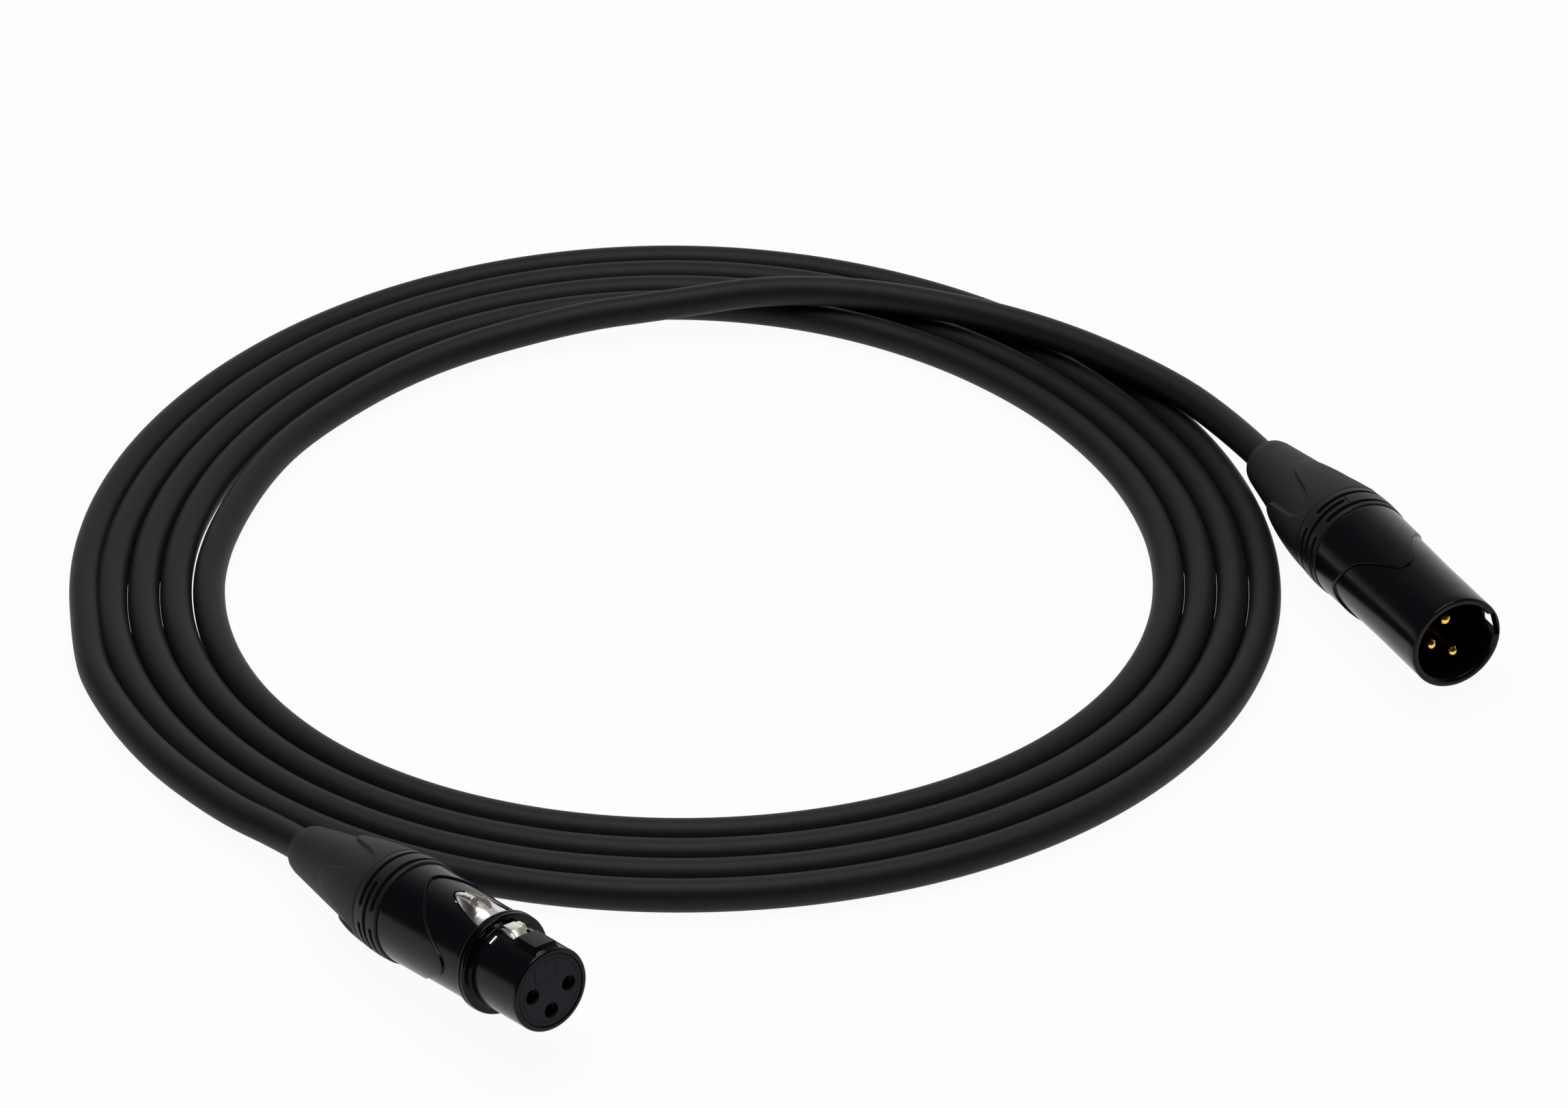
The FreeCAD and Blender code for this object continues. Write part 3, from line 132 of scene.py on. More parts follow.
route = [behind(SOCKET_PLUG, 0.0), behind(SOCKET_PLUG, 8.0)]
route += [round_coil(-68.8, 121.6, 4.6), round_coil(-80.3, 121.6, 3.9), round_coil(-92.8, 121.1, 3.4)]
route += [coil_point(step / POINTS_PER_TURN) for step in range(-1, TURNS * POINTS_PER_TURN + 1)]
route += [round_coil(227.2, 93.0, 3.5), round_coil(213.2, 92.8, 3.7), round_coil(192.2, 93.2, 4.3),
          round_coil(171.2, 93.5, 5.2), round_coil(158.0, 93.3, 6.6), round_coil(145.0, 95.8, 9.8),
          round_coil(131.2, 100.6, 9.9), round_coil(112.7, 107.2, 9.8), round_coil(95.7, 113.5, 9.6)]
route += [behind(PIN_PLUG, 15.0), behind(PIN_PLUG, 0.0)]

cable_line = bpy.data.curves.new("microphone_cable", "CURVE")
cable_line.dimensions = "3D"
spline = cable_line.splines.new("NURBS")
spline.points.add(len(route) - 1)
for point, place in zip(spline.points, route):
    point.co = (*(Vector(place) * MM), 1.0)
spline.order_u = 3
spline.use_endpoint_u = True
spline.resolution_u = 10
cable_line.bevel_depth = 0.5 * CABLE * MM
cable_line.bevel_resolution = 12
cable = bpy.data.objects.new("microphone_cable", cable_line)
bpy.context.scene.collection.objects.link(cable)
print("cable route:", len(route), "points")

# %% [markdown]
# Every finish below is a small node tree. One function adds a node with its settings and its links. Colours
# are written as sRGB hex values, the way that a paint chart gives them, and one function turns them linear.
# Patterns are sized from real millimetres: the noise textures count waves per metre. Sockets 6 and 7 of a
# Mix node are its two colours.

# %% Helpers for the finishes
def linear(hex_colour):
    """Linear RGBA of an sRGB hex colour."""
    parts = [int(hex_colour[place:place + 2], 16) / 255 for place in (1, 3, 5)]
    return [c / 12.92 if c <= 0.04045 else ((c + 0.055) / 1.055) ** 2.4 for c in parts] + [1.0]


def per_metre(millimetres):
    """Waves per metre of a pattern whose grains are so many millimetres apart."""
    return 1000.0 / millimetres


def add(tree, kind, inputs=None, **settings):
    """Adds a node; inputs maps a socket's name or number to a value or to the socket that feeds it."""
    node = tree.nodes.new(kind)
    for name, value in settings.items():
        setattr(node, name, value)
    for name, value in (inputs or {}).items():
        if isinstance(value, bpy.types.NodeSocket):
            tree.links.new(value, node.inputs[name])
        else:
            node.inputs[name].default_value = value
    return node


def new_finish(name):
    """An empty material, its tree, and a node with the coordinates of the object in metres."""
    finish = bpy.data.materials.new(name)
    finish.use_nodes = True
    tree = finish.node_tree
    tree.nodes.clear()
    return finish, tree, add(tree, "ShaderNodeTexCoord").outputs["Object"]


def close(tree, shader):
    """Joins a shader to the material's output."""
    add(tree, "ShaderNodeOutputMaterial", {"Surface": shader.outputs[0]})


# %% [markdown]
# The cable's jacket is soft PVC, extruded through a die. It comes out matt black with a faint ripple from
# the braid under it, and it picks up dust. PVC has an IOR of about 1.54. The dust is drawn as sparse pale
# specks about a fifth of a millimetre wide, from the peaks of a cell pattern.

# %% Extruded PVC jacket
def pvc_jacket():
    """Matt black with a ripple, a fine grain and a few specks of dust."""
    finish, tree, place = new_finish("extruded_pvc_jacket")
    ripple = add(tree, "ShaderNodeTexNoise", {"Vector": place, "Scale": per_metre(2.2), "Detail": 2.0})
    grain = add(tree, "ShaderNodeTexNoise", {"Vector": place, "Scale": per_metre(0.35), "Detail": 3.0})
    cells = add(tree, "ShaderNodeTexVoronoi", {"Vector": place, "Scale": per_metre(1.6)})
    specks = add(tree, "ShaderNodeMapRange",
                 {"Value": cells.outputs["Distance"], "From Min": 0.05, "From Max": 0.09,
                  "To Min": 1.0, "To Max": 0.0})
    chance = add(tree, "ShaderNodeSeparateColor", {"Color": cells.outputs["Color"]})
    few = add(tree, "ShaderNodeMath", {0: chance.outputs["Red"], 1: 0.975}, operation="GREATER_THAN")
    dust = add(tree, "ShaderNodeMath", {0: specks.outputs[0], 1: few.outputs[0]}, operation="MULTIPLY")
    shade = add(tree, "ShaderNodeMix", {"Factor": ripple.outputs["Fac"], 6: linear("#17161a"),
                                        7: linear("#1c1b1f")}, data_type="RGBA")
    dusty = add(tree, "ShaderNodeMix", {"Factor": dust.outputs[0], 6: shade.outputs[2],
                                        7: linear("#4d4a47")}, data_type="RGBA")
    rough = add(tree, "ShaderNodeMapRange", {"Value": grain.outputs["Fac"], "To Min": 0.46, "To Max": 0.62})
    low_bump = add(tree, "ShaderNodeBump", {"Height": ripple.outputs["Fac"], "Strength": 0.5,
                                            "Distance": 0.06 * MM})
    bump = add(tree, "ShaderNodeBump", {"Height": grain.outputs["Fac"], "Strength": 0.5,
                                        "Distance": 0.012 * MM, "Normal": low_bump.outputs[0]})
    close(tree, add(tree, "ShaderNodeBsdfPrincipled",
                    {"Base Color": dusty.outputs[2], "Roughness": rough.outputs[0], "IOR": 1.54,
                     "Specular IOR Level": 0.2, "Normal": bump.outputs[0]}))
    return finish


PVC_JACKET = pvc_jacket()
cable_line.materials.append(PVC_JACKET)

# %% [markdown]
# The boots are thermoplastic rubber, moulded in a tool whose face was spark eroded, so they are evenly
# matt with a grain of about a tenth of a millimetre. They reflect little and look a shade greyer than the
# cable. The grain is drawn twice as coarse as it is, so that it shows.

# %% Moulded plastics
BLOTCH_MM = 6.0


def moulded(name, dark, pale, roughness, spread, grain_mm, depth_mm, ior, shine=0.5):
    """A moulded plastic or rubber: two near shades, and a fine grain that changes gloss and height."""
    finish, tree, place = new_finish(name)
    blotch = add(tree, "ShaderNodeTexNoise", {"Vector": place, "Scale": per_metre(BLOTCH_MM), "Detail": 4.0})
    grain = add(tree, "ShaderNodeTexNoise", {"Vector": place, "Scale": per_metre(grain_mm), "Detail": 2.0})
    shade = add(tree, "ShaderNodeMix", {"Factor": blotch.outputs["Fac"], 6: linear(dark), 7: linear(pale)},
                data_type="RGBA")
    rough = add(tree, "ShaderNodeMapRange", {"Value": grain.outputs["Fac"], "To Min": roughness - spread,
                                             "To Max": roughness + spread})
    bump = add(tree, "ShaderNodeBump", {"Height": grain.outputs["Fac"], "Strength": 0.6,
                                        "Distance": depth_mm * MM})
    close(tree, add(tree, "ShaderNodeBsdfPrincipled",
                    {"Base Color": shade.outputs[2], "Roughness": rough.outputs[0], "IOR": ior,
                     "Specular IOR Level": shine, "Normal": bump.outputs[0]}))
    return finish


BOOT_RUBBER = moulded("moulded_thermoplastic_rubber", "#262528", "#2d2c2f", 0.58, 0.08, 0.2, 0.02,
                      1.50, 0.22)
GRIP_NYLON = moulded("moulded_black_nylon", "#1b1a1d", "#212023", 0.45, 0.06, 0.25, 0.012, 1.53, 0.22)
INSERT_PBT = moulded("moulded_black_pbt", "#201f27", "#25242d", 0.5, 0.06, 0.3, 0.01, 1.57, 0.1)
CLAMP_ACETAL = moulded("moulded_acetal", "#38383a", "#404043", 0.4, 0.05, 0.3, 0.008, 1.48)
RED_SLEEVE = moulded("extruded_red_pvc", "#a31a1a", "#b02020", 0.35, 0.05, 0.5, 0.006, 1.54)
WHITE_SLEEVE = moulded("extruded_white_pvc", "#d8d6cf", "#e2e0da", 0.35, 0.05, 0.5, 0.006, 1.54)

# %% [markdown]
# The shells are die-cast zinc with a satin black coat. The coat is smooth enough to mirror a white table
# as a soft grey band near the outline, and dark everywhere else. A slow wave under the coat, left by the
# casting, breaks that band up a little.

# %% Satin black coat on cast zinc
def satin_coat(name, colour, roughness):
    """A smooth dark coat over a wavy casting, a little duller where hands held it."""
    finish, tree, place = new_finish(name)
    wave = add(tree, "ShaderNodeTexNoise", {"Vector": place, "Scale": per_metre(5.0), "Detail": 1.0})
    grain = add(tree, "ShaderNodeTexNoise", {"Vector": place, "Scale": per_metre(0.18), "Detail": 1.0})
    handled = add(tree, "ShaderNodeTexNoise", {"Vector": place, "Scale": per_metre(14.0), "Detail": 5.0})
    rough = add(tree, "ShaderNodeMapRange", {"Value": handled.outputs["Fac"], "From Min": 0.3,
                                             "From Max": 0.7, "To Min": roughness - 0.04,
                                             "To Max": roughness + 0.05})
    low_bump = add(tree, "ShaderNodeBump", {"Height": wave.outputs["Fac"], "Strength": 0.3,
                                            "Distance": 0.05 * MM})
    bump = add(tree, "ShaderNodeBump", {"Height": grain.outputs["Fac"], "Strength": 0.35,
                                        "Distance": 0.006 * MM, "Normal": low_bump.outputs[0]})
    close(tree, add(tree, "ShaderNodeBsdfPrincipled",
                    {"Base Color": linear(colour), "Roughness": rough.outputs[0], "IOR": 1.5,
                     "Specular IOR Level": 0.16, "Normal": bump.outputs[0]}))
    return finish


SHELL_COAT = satin_coat("satin_black_coat_on_zinc", "#100f14", 0.2)
RING_COAT = satin_coat("gloss_black_coat_on_brass", "#08080a", 0.14)

# %% [markdown]
# The bare metals are gilt brass for the contacts, nickel-plated zinc for the latch, spring steel, and
# tinned copper for the wires. A metal needs no IOR: its colour is its reflection. What tells them apart is
# that colour and how sharply they mirror the table.

# %% Bare metals
def metal(name, dull, bright, roughness, spread, patch_mm, depth_mm):
    """A metal whose colour and gloss drift a little from place to place."""
    finish, tree, place = new_finish(name)
    patch = add(tree, "ShaderNodeTexNoise", {"Vector": place, "Scale": per_metre(patch_mm), "Detail": 3.0})
    shade = add(tree, "ShaderNodeMix", {"Factor": patch.outputs["Fac"], 6: linear(dull), 7: linear(bright)},
                data_type="RGBA")
    rough = add(tree, "ShaderNodeMapRange", {"Value": patch.outputs["Fac"], "To Min": roughness - spread,
                                             "To Max": roughness + spread})
    bump = add(tree, "ShaderNodeBump", {"Height": patch.outputs["Fac"], "Strength": 0.3,
                                        "Distance": depth_mm * MM})
    close(tree, add(tree, "ShaderNodeBsdfPrincipled",
                    {"Base Color": shade.outputs[2], "Metallic": 1.0, "Roughness": rough.outputs[0],
                     "Normal": bump.outputs[0]}))
    return finish


GILT = metal("gilt_brass", "#ecc050", "#ffdd80", 0.13, 0.03, 1.5, 0.01)
NICKEL = metal("nickel_plated_zinc", "#dcd8d0", "#f2efe8", 0.27, 0.06, 3.0, 0.02)
SPRING_STEEL = metal("bright_spring_steel", "#d0ccc4", "#e8e4dc", 0.24, 0.05, 2.0, 0.01)
TINNED_COPPER = metal("tinned_copper_strands", "#b08a66", "#c9a17a", 0.32, 0.06, 0.6, 0.03)

# %% [markdown]
# The solids that stay in the scene get these finishes too: the inserts, clamps, wires, sockets and springs
# are right as they are, and most of them are hidden inside the plugs.

# %% Finishes for the solids that stay
BY_SLOT = {
    "cable_jacket": PVC_JACKET, "boot_rubber": BOOT_RUBBER, "bushing_plastic": GRIP_NYLON,
    "clamp_plastic": CLAMP_ACETAL, "shell_coating": SHELL_COAT, "insert_plastic": INSERT_PBT,
    "gilt_contact": GILT, "latch_metal": NICKEL, "spring_steel": SPRING_STEEL, "bare_wire": TINNED_COPPER,
    "red_wire": RED_SLEEVE, "white_wire": WHITE_SLEEVE,
}
for row in frame["record"]["subparts"]:
    solid = frame["nodes"][row["node"]]
    solid.data.materials.clear()
    solid.data.materials.append(BY_SLOT[row["material_slot"]])

# %% [markdown]
# Most pieces of a plug are turned shapes with something moulded or cut into them. A row of points is
# carried round the axis, and then a function moves single points in or out or along. Rows bunch up where
# an edge is, so that the edge stays crisp without a dense mesh everywhere.

# %% Turned pieces
CLOSEST_ROWS = 0.03
CLOSEST_ANGLES = 0.12


def turn_faces_outwards(mesh):
    """Makes all faces of a closed mesh look outwards, which the cuts rely on."""
    shape = bmesh.new()
    shape.from_mesh(mesh)
    bmesh.ops.recalc_face_normals(shape, faces=shape.faces)
    shape.to_mesh(mesh)
    shape.free()


def smooth(value, width):
    """0 below -width, 1 above width, and an even S between them."""
    t = np.clip(0.5 + 0.5 * value / width, 0.0, 1.0)
    return t * t * (3 - 2 * t)


def rows_with_edges(start, end, step, edges, reach=0.1):
    """Places along a line: every step, and five close together at each edge."""
    places = list(np.linspace(start, end, max(2, int(round((end - start) / step)) + 1)))
    for edge in edges:
        places += [edge + reach * part for part in (-1.0, -0.45, 0.0, 0.45, 1.0)]
    kept = []
    for place in sorted(p for p in places if start <= p <= end):
        if not kept or place - kept[-1] > CLOSEST_ROWS:
            kept.append(place)
    return np.array(kept)


def piece_from(name, points, faces, finish, body, plug, sharp=35.0, closed=True):
    """Makes a piece from a plug's points, smooth apart from edges over the sharp angle."""
    mesh = bpy.data.meshes.new(name)
    mesh.from_pydata([tuple(p) for p in points], [], faces)
    mesh.transform(plug @ Matrix.Scale(MM, 4))
    mesh.validate()
    if closed:
        turn_faces_outwards(mesh)
    mesh.shade_smooth()
    mesh.set_sharp_from_angle(angle=math.radians(sharp))
    mesh.materials.append(finish)
    piece = bpy.data.objects.new(name, mesh)
    bpy.context.scene.collection.objects.link(piece)
    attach(piece, body)
    return piece


def round_the_axis(count, near=(), reach=1.2):
    """Even angles, with more of them near the given ones (in degrees)."""
    angles = list(np.linspace(-180.0, 180.0, count, endpoint=False))
    for edge in near:
        edge = (edge + 180.0) % 360.0 - 180.0
        angles += [edge + reach * part for part in (-1.0, -0.5, 0.0, 0.5, 1.0)]
    angles = sorted((angle + 180.0) % 360.0 - 180.0 for angle in angles)
    kept = [angles[0]]
    for angle in angles[1:]:
        if angle - kept[-1] > CLOSEST_ANGLES:
            kept.append(angle)
    return np.radians(kept)


def skin(along, radius, angles, closed):
    """Points and faces of rows round the axis; angle 0 is the key side, and a quarter turn is left."""
    points = np.stack([along, radius * np.sin(angles), radius * np.cos(angles)], axis=2).reshape(-1, 3)
    rows, around = along.shape
    faces = []
    for row in range(rows if closed else rows - 1):
        below, above = row * around, (row + 1) % rows * around
        for column in range(around):
            beside = (column + 1) % around
            faces.append((below + column, below + beside, above + beside, above + column))
    return points, faces


def all_round(rows, angles):
    """Rows of (along, radius) as two grids, which are the same all round the axis."""
    return [np.repeat(column[:, None], len(angles), axis=1) for column in np.array(rows, float).T]


def turned(rows, angles):
    """Closed skin of a plain turned piece, from its rows of (along, radius)."""
    along, radius = all_round(rows, angles)
    return skin(along, radius, angles, True)


# %% [markdown]
# A boot is a rubber cone that slides over the cable. Four raised tongues widen towards the grip ring. Each
# tongue's edge is a line round the boot, so the rows of the mesh follow that line, and the step down from
# the tongue to the cone is 0.4 mm wide with a soft shoulder.

# %% Boots
def arc_through(first, middle, last):
    """Radius as a function of the place along, on the circle through three points."""
    (ax, ay), (bx, by), (cx, cy) = first, middle, last
    d = 2 * (ax * (by - cy) + bx * (cy - ay) + cx * (ay - by))
    a2, b2, c2 = ax ** 2 + ay ** 2, bx ** 2 + by ** 2, cx ** 2 + cy ** 2
    x = (a2 * (by - cy) + b2 * (cy - ay) + c2 * (ay - by)) / d
    y = (a2 * (cx - bx) + b2 * (ax - cx) + c2 * (bx - ax)) / d
    size = math.hypot(ax - x, ay - y)
    return lambda along: y + np.sqrt(np.maximum(0.0, size ** 2 - (along - x) ** 2))


def boot(name, plug, rear, front, length, tongue_start, tongue, gap_angle):
    """A boot from its radii; tongue holds the radii of a tongue's back at its start, middle and end."""
    back = arc_through((tongue_start, tongue[0]), (0.5 * (tongue_start + length), tongue[1]),
                       (length, tongue[2]))
    from_gap = np.radians([0.0, 5.0, 9.5, 15.0, 20.0, 24.0, 31.0, 38.0, 45.0])
    edge_along = np.array([length - 1.5, length - 1.9, length - 3.0, length - 4.5, length - 7.0,
                           tongue_start + 3.6, tongue_start + 1.3, tongue_start + 0.4, tongue_start])
    cone_rounding = 2.2
    cone_start = 1.4
    even_start = 4.0
    front_rounding = 0.25
    front_margin = 0.3
    half_step = 0.2
    middle_radius = 0.9 * tongue[1]

    def cone(along):
        """Radius of the plain cone, without tongues."""
        return rear + (front - rear) * np.clip((along - cone_start) / (length - cone_start), 0.0, 1.0)

    def tongue_edge(angle):
        """Where a tongue begins, by the angle from the middle of the nearest gap."""
        aside = np.abs((angle - math.radians(gap_angle) + math.pi / 4) % (math.pi / 2) - math.pi / 4)
        return np.interp(aside, from_gap, edge_along)

    around = 192
    angles = np.linspace(0.0, math.tau, around, endpoint=False)
    edge = tongue_edge(angles)
    edge = sum(np.roll(edge, shift) for shift in (-2, -1, 0, 1, 2)) / 5
    slope = (np.roll(edge, -1) - np.roll(edge, 1)) / (2 * math.tau / around * middle_radius)
    spread = half_step * np.sqrt(1.0 + slope ** 2)
    spread = np.minimum(spread, 0.45 * np.minimum(edge - even_start, length - front_margin - edge))
    rows = [(even_start + (edge - spread - even_start) * part, 0.0) for part in np.linspace(0.0, 1.0, 26)]
    rows += [(edge + spread * part, smooth(part, 0.75)) for part in (-0.5, 0.0, 0.5)]
    rows += [(edge + spread + (length - front_rounding - edge - spread) * part, 1.0)
             for part in np.linspace(0.0, 1.0, 22)]
    rows_along = np.array([place for place, lift in rows])
    rows_lift = np.array([lift for place, lift in rows])[:, None]
    lifted = cone(rows_along) + rows_lift * np.maximum(0.0, back(rows_along) - cone(rows_along))

    bore = 0.5 * CABLE + 0.04
    hole = [(6.0, bore), (1.0, bore), (0.35, bore + 0.1), (0.08, bore + 0.35)]
    rounding = [(cone_rounding * (1 - math.cos(a)), rear - cone_rounding + cone_rounding * math.sin(a))
                for a in np.linspace(0.0, math.pi / 2, 9)]
    near = [(a, r if a < 0.1 else min(r, float(cone(np.array(a))))) for a, r in rounding]
    near += [(a, float(cone(np.array(a)))) for a in np.linspace(2.6, 3.6, 3)]
    rear_along, rear_radius = all_round(hole + near, angles)
    along = np.concatenate([rear_along, rows_along])
    radius = np.concatenate([rear_radius, lifted])
    front_edge = radius[-1]
    for forward, inward in ((0.1, 0.03), (0.2, 0.12), (0.25, 0.3), (0.25, 1.6)):
        along = np.vstack([along, np.full(around, length - front_rounding + forward)])
        radius = np.vstack([radius, front_edge - inward])
    points, faces = skin(along, radius, angles, False)
    return piece_from(name, points, faces, BOOT_RUBBER, "cable", plug, closed=False)


pin_boot = boot("pin_plug_boot", PIN_PLUG, 5.3, 10.0, 32.3, 15.5, (8.3, 9.85, 10.45), -126.0)
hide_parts("male_boot")
socket_boot = boot("socket_plug_boot", SOCKET_PLUG, 4.8, 9.3, 28.5, 14.5, (7.6, 8.95, 9.75), -115.0)
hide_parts("female_boot")

# %% [markdown]
# The grip ring is the rear of the threaded bushing, and fingers turn it. A long groove runs nearly half way
# round at its rear and at its front, twice, and a shorter one lies between them where the long ones stop.
# A groove is drawn with a distance to a line round the ring: within half its width of the line the surface
# drops, which gives it round ends. A fine tick across the ring stands at each end of the shorter groove.

# %% Grip rings
GROOVE_HALF = 0.4
GROOVE_DEPTH = 0.8
LONG_STOP = 11.5
SHORT_STOP = 38.5
EDGE_ROUNDING = 0.3
TICK = 43.5
TICK_HALF = 0.1
TICK_DEPTH = 0.2
TICK_TO_GROOVE = 0.6


def grip_ring(name, plug, start, end, rear_radius, radius, neck, stop_angle):
    """A grip ring with its grooves; stop_angle is where the long grooves stop, and again half way round."""
    curve = arc_through((start, rear_radius), (0.45 * start + 0.55 * end, radius), (end, radius - 0.1))
    rear, middle, front = (start + part * (end - start) for part in (0.28, 0.52, 0.79))
    edges = [start + 0.2, end - 0.2]
    for place in (rear, middle, front):
        edges += [place - GROOVE_HALF, place + GROOVE_HALF]
    along = rows_with_edges(start + 0.02, end - 0.02, 0.25, edges, 0.09)
    near = [stop_angle + half + side * turn for half in (0.0, 180.0) for side in (-1, 1)
            for turn in (LONG_STOP, SHORT_STOP, TICK)]

    def surface(along, angle):
        """Outside of the ring, with its rounded edges, grooves and ticks."""
        height = curve(along)
        from_edge = np.minimum(along - start, end - along)
        height = height - EDGE_ROUNDING * np.clip(1 - from_edge / EDGE_ROUNDING, 0.0, 1.0) ** 2
        turn = np.abs((np.degrees(angle) - stop_angle + 90.0) % 180.0 - 90.0)
        per_degree = math.radians(1.0) * radius
        past_long = LONG_STOP - turn
        past_short = turn - SHORT_STOP
        for place, past in ((rear, past_long), (front, past_long), (middle, past_short)):
            aside = np.maximum(0.0, past * per_degree)
            groove = 1 - smooth(np.hypot(along - place, aside) - GROOVE_HALF, 0.1)
            height = height - GROOVE_DEPTH * groove
        tick = 1 - smooth(np.abs(turn - TICK) * per_degree - TICK_HALF, 0.08)
        tick = tick * smooth(along - rear - TICK_TO_GROOVE, 0.1)
        tick = tick * smooth(front - TICK_TO_GROOVE - along, 0.1)
        return height - TICK_DEPTH * tick

    inner = [(start, neck), (start, rear_radius - 0.7), (start + 0.005, rear_radius - 0.45)]
    closing = [(end - 0.005, radius - 0.5), (end, radius - 0.8), (end, radius - 1.6),
               (start + 1.0, radius - 2.2)]
    outside = [(place, radius) for place in along]
    angles = round_the_axis(240, near)
    all_along, all_radius = all_round(inner + outside + closing, angles)
    rows = slice(len(inner), len(inner) + len(outside))
    all_radius[rows] = surface(all_along[rows], angles[None, :])
    points, faces = skin(all_along, all_radius, angles, True)
    return piece_from(name, points, faces, GRIP_NYLON, "cable", plug)


pin_grip = grip_ring("pin_plug_grip_ring", PIN_PLUG, 32.3, 39.7, 10.45, 10.7, 6.1, 52.0)
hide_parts("male_bushing")
socket_grip = grip_ring("socket_plug_grip_ring", SOCKET_PLUG, 28.5, 35.2, 9.75, 10.0, 6.1, 98.0)
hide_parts("female_bushing")

# %% [markdown]
# Each shell has a thick mantle at its rear whose front edge is cut to two leaves, left and right of the
# key. The rows of the mesh follow that wavy edge, so a step of seven rows draws it crisply. The keyway, the
# windows and the slot are cut afterwards with solid cutters, as a milling machine would.

# %% Shell with leaves
HALF_STEP = 0.13
REAR_ROUNDING = 0.3
STEP_ROWS = ((-0.45, 0.96), (0.0, 0.78), (0.25, 0.3), (0.5, 0.0), (0.8, -0.18), (1.3, -0.12), (1.8, 0.0))


def leaf_edge(angle, outline):
    """Place along of the leaves' edge, from half an outline of (round from the leaf's middle, along)."""
    from_leaf = np.abs((angle + math.pi) % math.pi - math.pi / 2)
    spots = np.array(outline)
    line = np.interp(np.degrees(from_leaf), spots[:, 0], spots[:, 1])
    width = len(line) // 96
    return sum(np.roll(line, shift) for shift in range(-width, width + 1)) / (2 * width + 1)


def leafed_shell(mantle_start, mantle_radius, thickness, outline, front_rows, bore_rows):
    """Closed skin of a shell: mantle with its wavy edge, the rows in front of it, and the bore."""
    around = 288
    angles = np.linspace(0.0, math.tau, around, endpoint=False)
    edge = leaf_edge(angles, outline)
    slope = (np.roll(edge, -1) - np.roll(edge, 1)) / (2 * math.tau / around * mantle_radius)
    spread = HALF_STEP * np.sqrt(1.0 + slope ** 2)
    tip = max(edge)
    body = front_rows[0][1]

    def base(along):
        """Radius of the plain body, which widens a little under the mantle."""
        part = np.clip((along - mantle_start) / (tip - mantle_start), 0.0, 1.0)
        return (mantle_radius - thickness) * (1 - part) + body * part

    rear_rows = [(0.0, 1.0), (0.0, REAR_ROUNDING), (0.1, 0.06)]
    rows_along = [np.full(around, mantle_start + forward) for forward, inward in rear_rows]
    rows_radius = [np.full(around, mantle_radius - inward) for forward, inward in rear_rows]
    for part in np.linspace(0.0, 1.0, 40):
        along = mantle_start + REAR_ROUNDING + (edge - spread - mantle_start - REAR_ROUNDING) * part
        rows_along.append(along)
        rows_radius.append(base(along) + thickness)
    for part, lift in STEP_ROWS:
        along = edge + spread * part
        rows_along.append(along)
        rows_radius.append(base(along) + thickness * lift)
    last = edge + spread * STEP_ROWS[-1][0]
    front = front_rows[0][0]
    for part in np.linspace(0.0, 1.0, 30)[1:]:
        along = last + (front - last) * part
        rows_along.append(along)
        rows_radius.append(base(along))
    for place, radius in front_rows[1:] + bore_rows:
        rows_along.append(np.full(around, place))
        rows_radius.append(np.full(around, radius))
    return skin(np.array(rows_along), np.array(rows_radius), angles, True)


def block_faces(count):
    """Faces of a closed block whose points are two outlines, so many points each, one after the other."""
    faces = [tuple(range(count)), tuple(range(2 * count - 1, count - 1, -1))]
    return faces + [(i, i + count, (i + 1) % count + count, (i + 1) % count) for i in range(count)]


def prism(outline, low, high, axis="up"):
    """A straight cutter: an outline of (along, across) raised up, or of (along, up) drawn across."""
    points = []
    for level in (low, high):
        for first, second in outline:
            points.append((first, second, level) if axis == "up" else (first, level, second))
    return points, block_faces(len(outline))


def cut_from(piece, plug, cutters):
    """Cuts closed blocks, given in the plug's frame in millimetres, out of a piece."""
    for number, (points, faces) in enumerate(cutters):
        mesh = bpy.data.meshes.new("cutter")
        mesh.from_pydata(points, [], faces)
        mesh.transform(plug @ Matrix.Scale(MM, 4))
        turn_faces_outwards(mesh)
        cutter = bpy.data.objects.new("cutter", mesh)
        bpy.context.scene.collection.objects.link(cutter)
        tool = piece.modifiers.new("cut_%d" % number, "BOOLEAN")
        tool.operation = "DIFFERENCE"
        tool.solver = "EXACT"
        tool.object = cutter
        bpy.context.view_layer.update()
        graph = bpy.context.evaluated_depsgraph_get()
        result = bpy.data.meshes.new_from_object(piece.evaluated_get(graph))
        piece.modifiers.clear()
        piece.data = result
        bpy.data.objects.remove(cutter)
    piece.data.shade_smooth()
    piece.data.set_sharp_from_angle(angle=math.radians(35.0))
    print(piece.name, len(piece.data.vertices), "vertices after", len(cutters), "cuts")


def rounded_outline(low, high, half_width, corner):
    """Rectangle of (along, across) with round corners."""
    spots = []
    for centre_along, centre_across, start in ((high - corner, half_width - corner, 0),
                                               (low + corner, half_width - corner, 90),
                                               (low + corner, -half_width + corner, 180),
                                               (high - corner, -half_width + corner, 270)):
        for step in range(5):
            angle = math.radians(start + 22.5 * step)
            spots.append((centre_along + corner * math.cos(angle), centre_across + corner * math.sin(angle)))
    return spots


# %% [markdown]
# The pin plug's shell ends in an open mouth with a narrow flat rim. Inside, at the key side, a keyway runs
# back from the mouth, and the catch window behind the rim lets the white table show through.

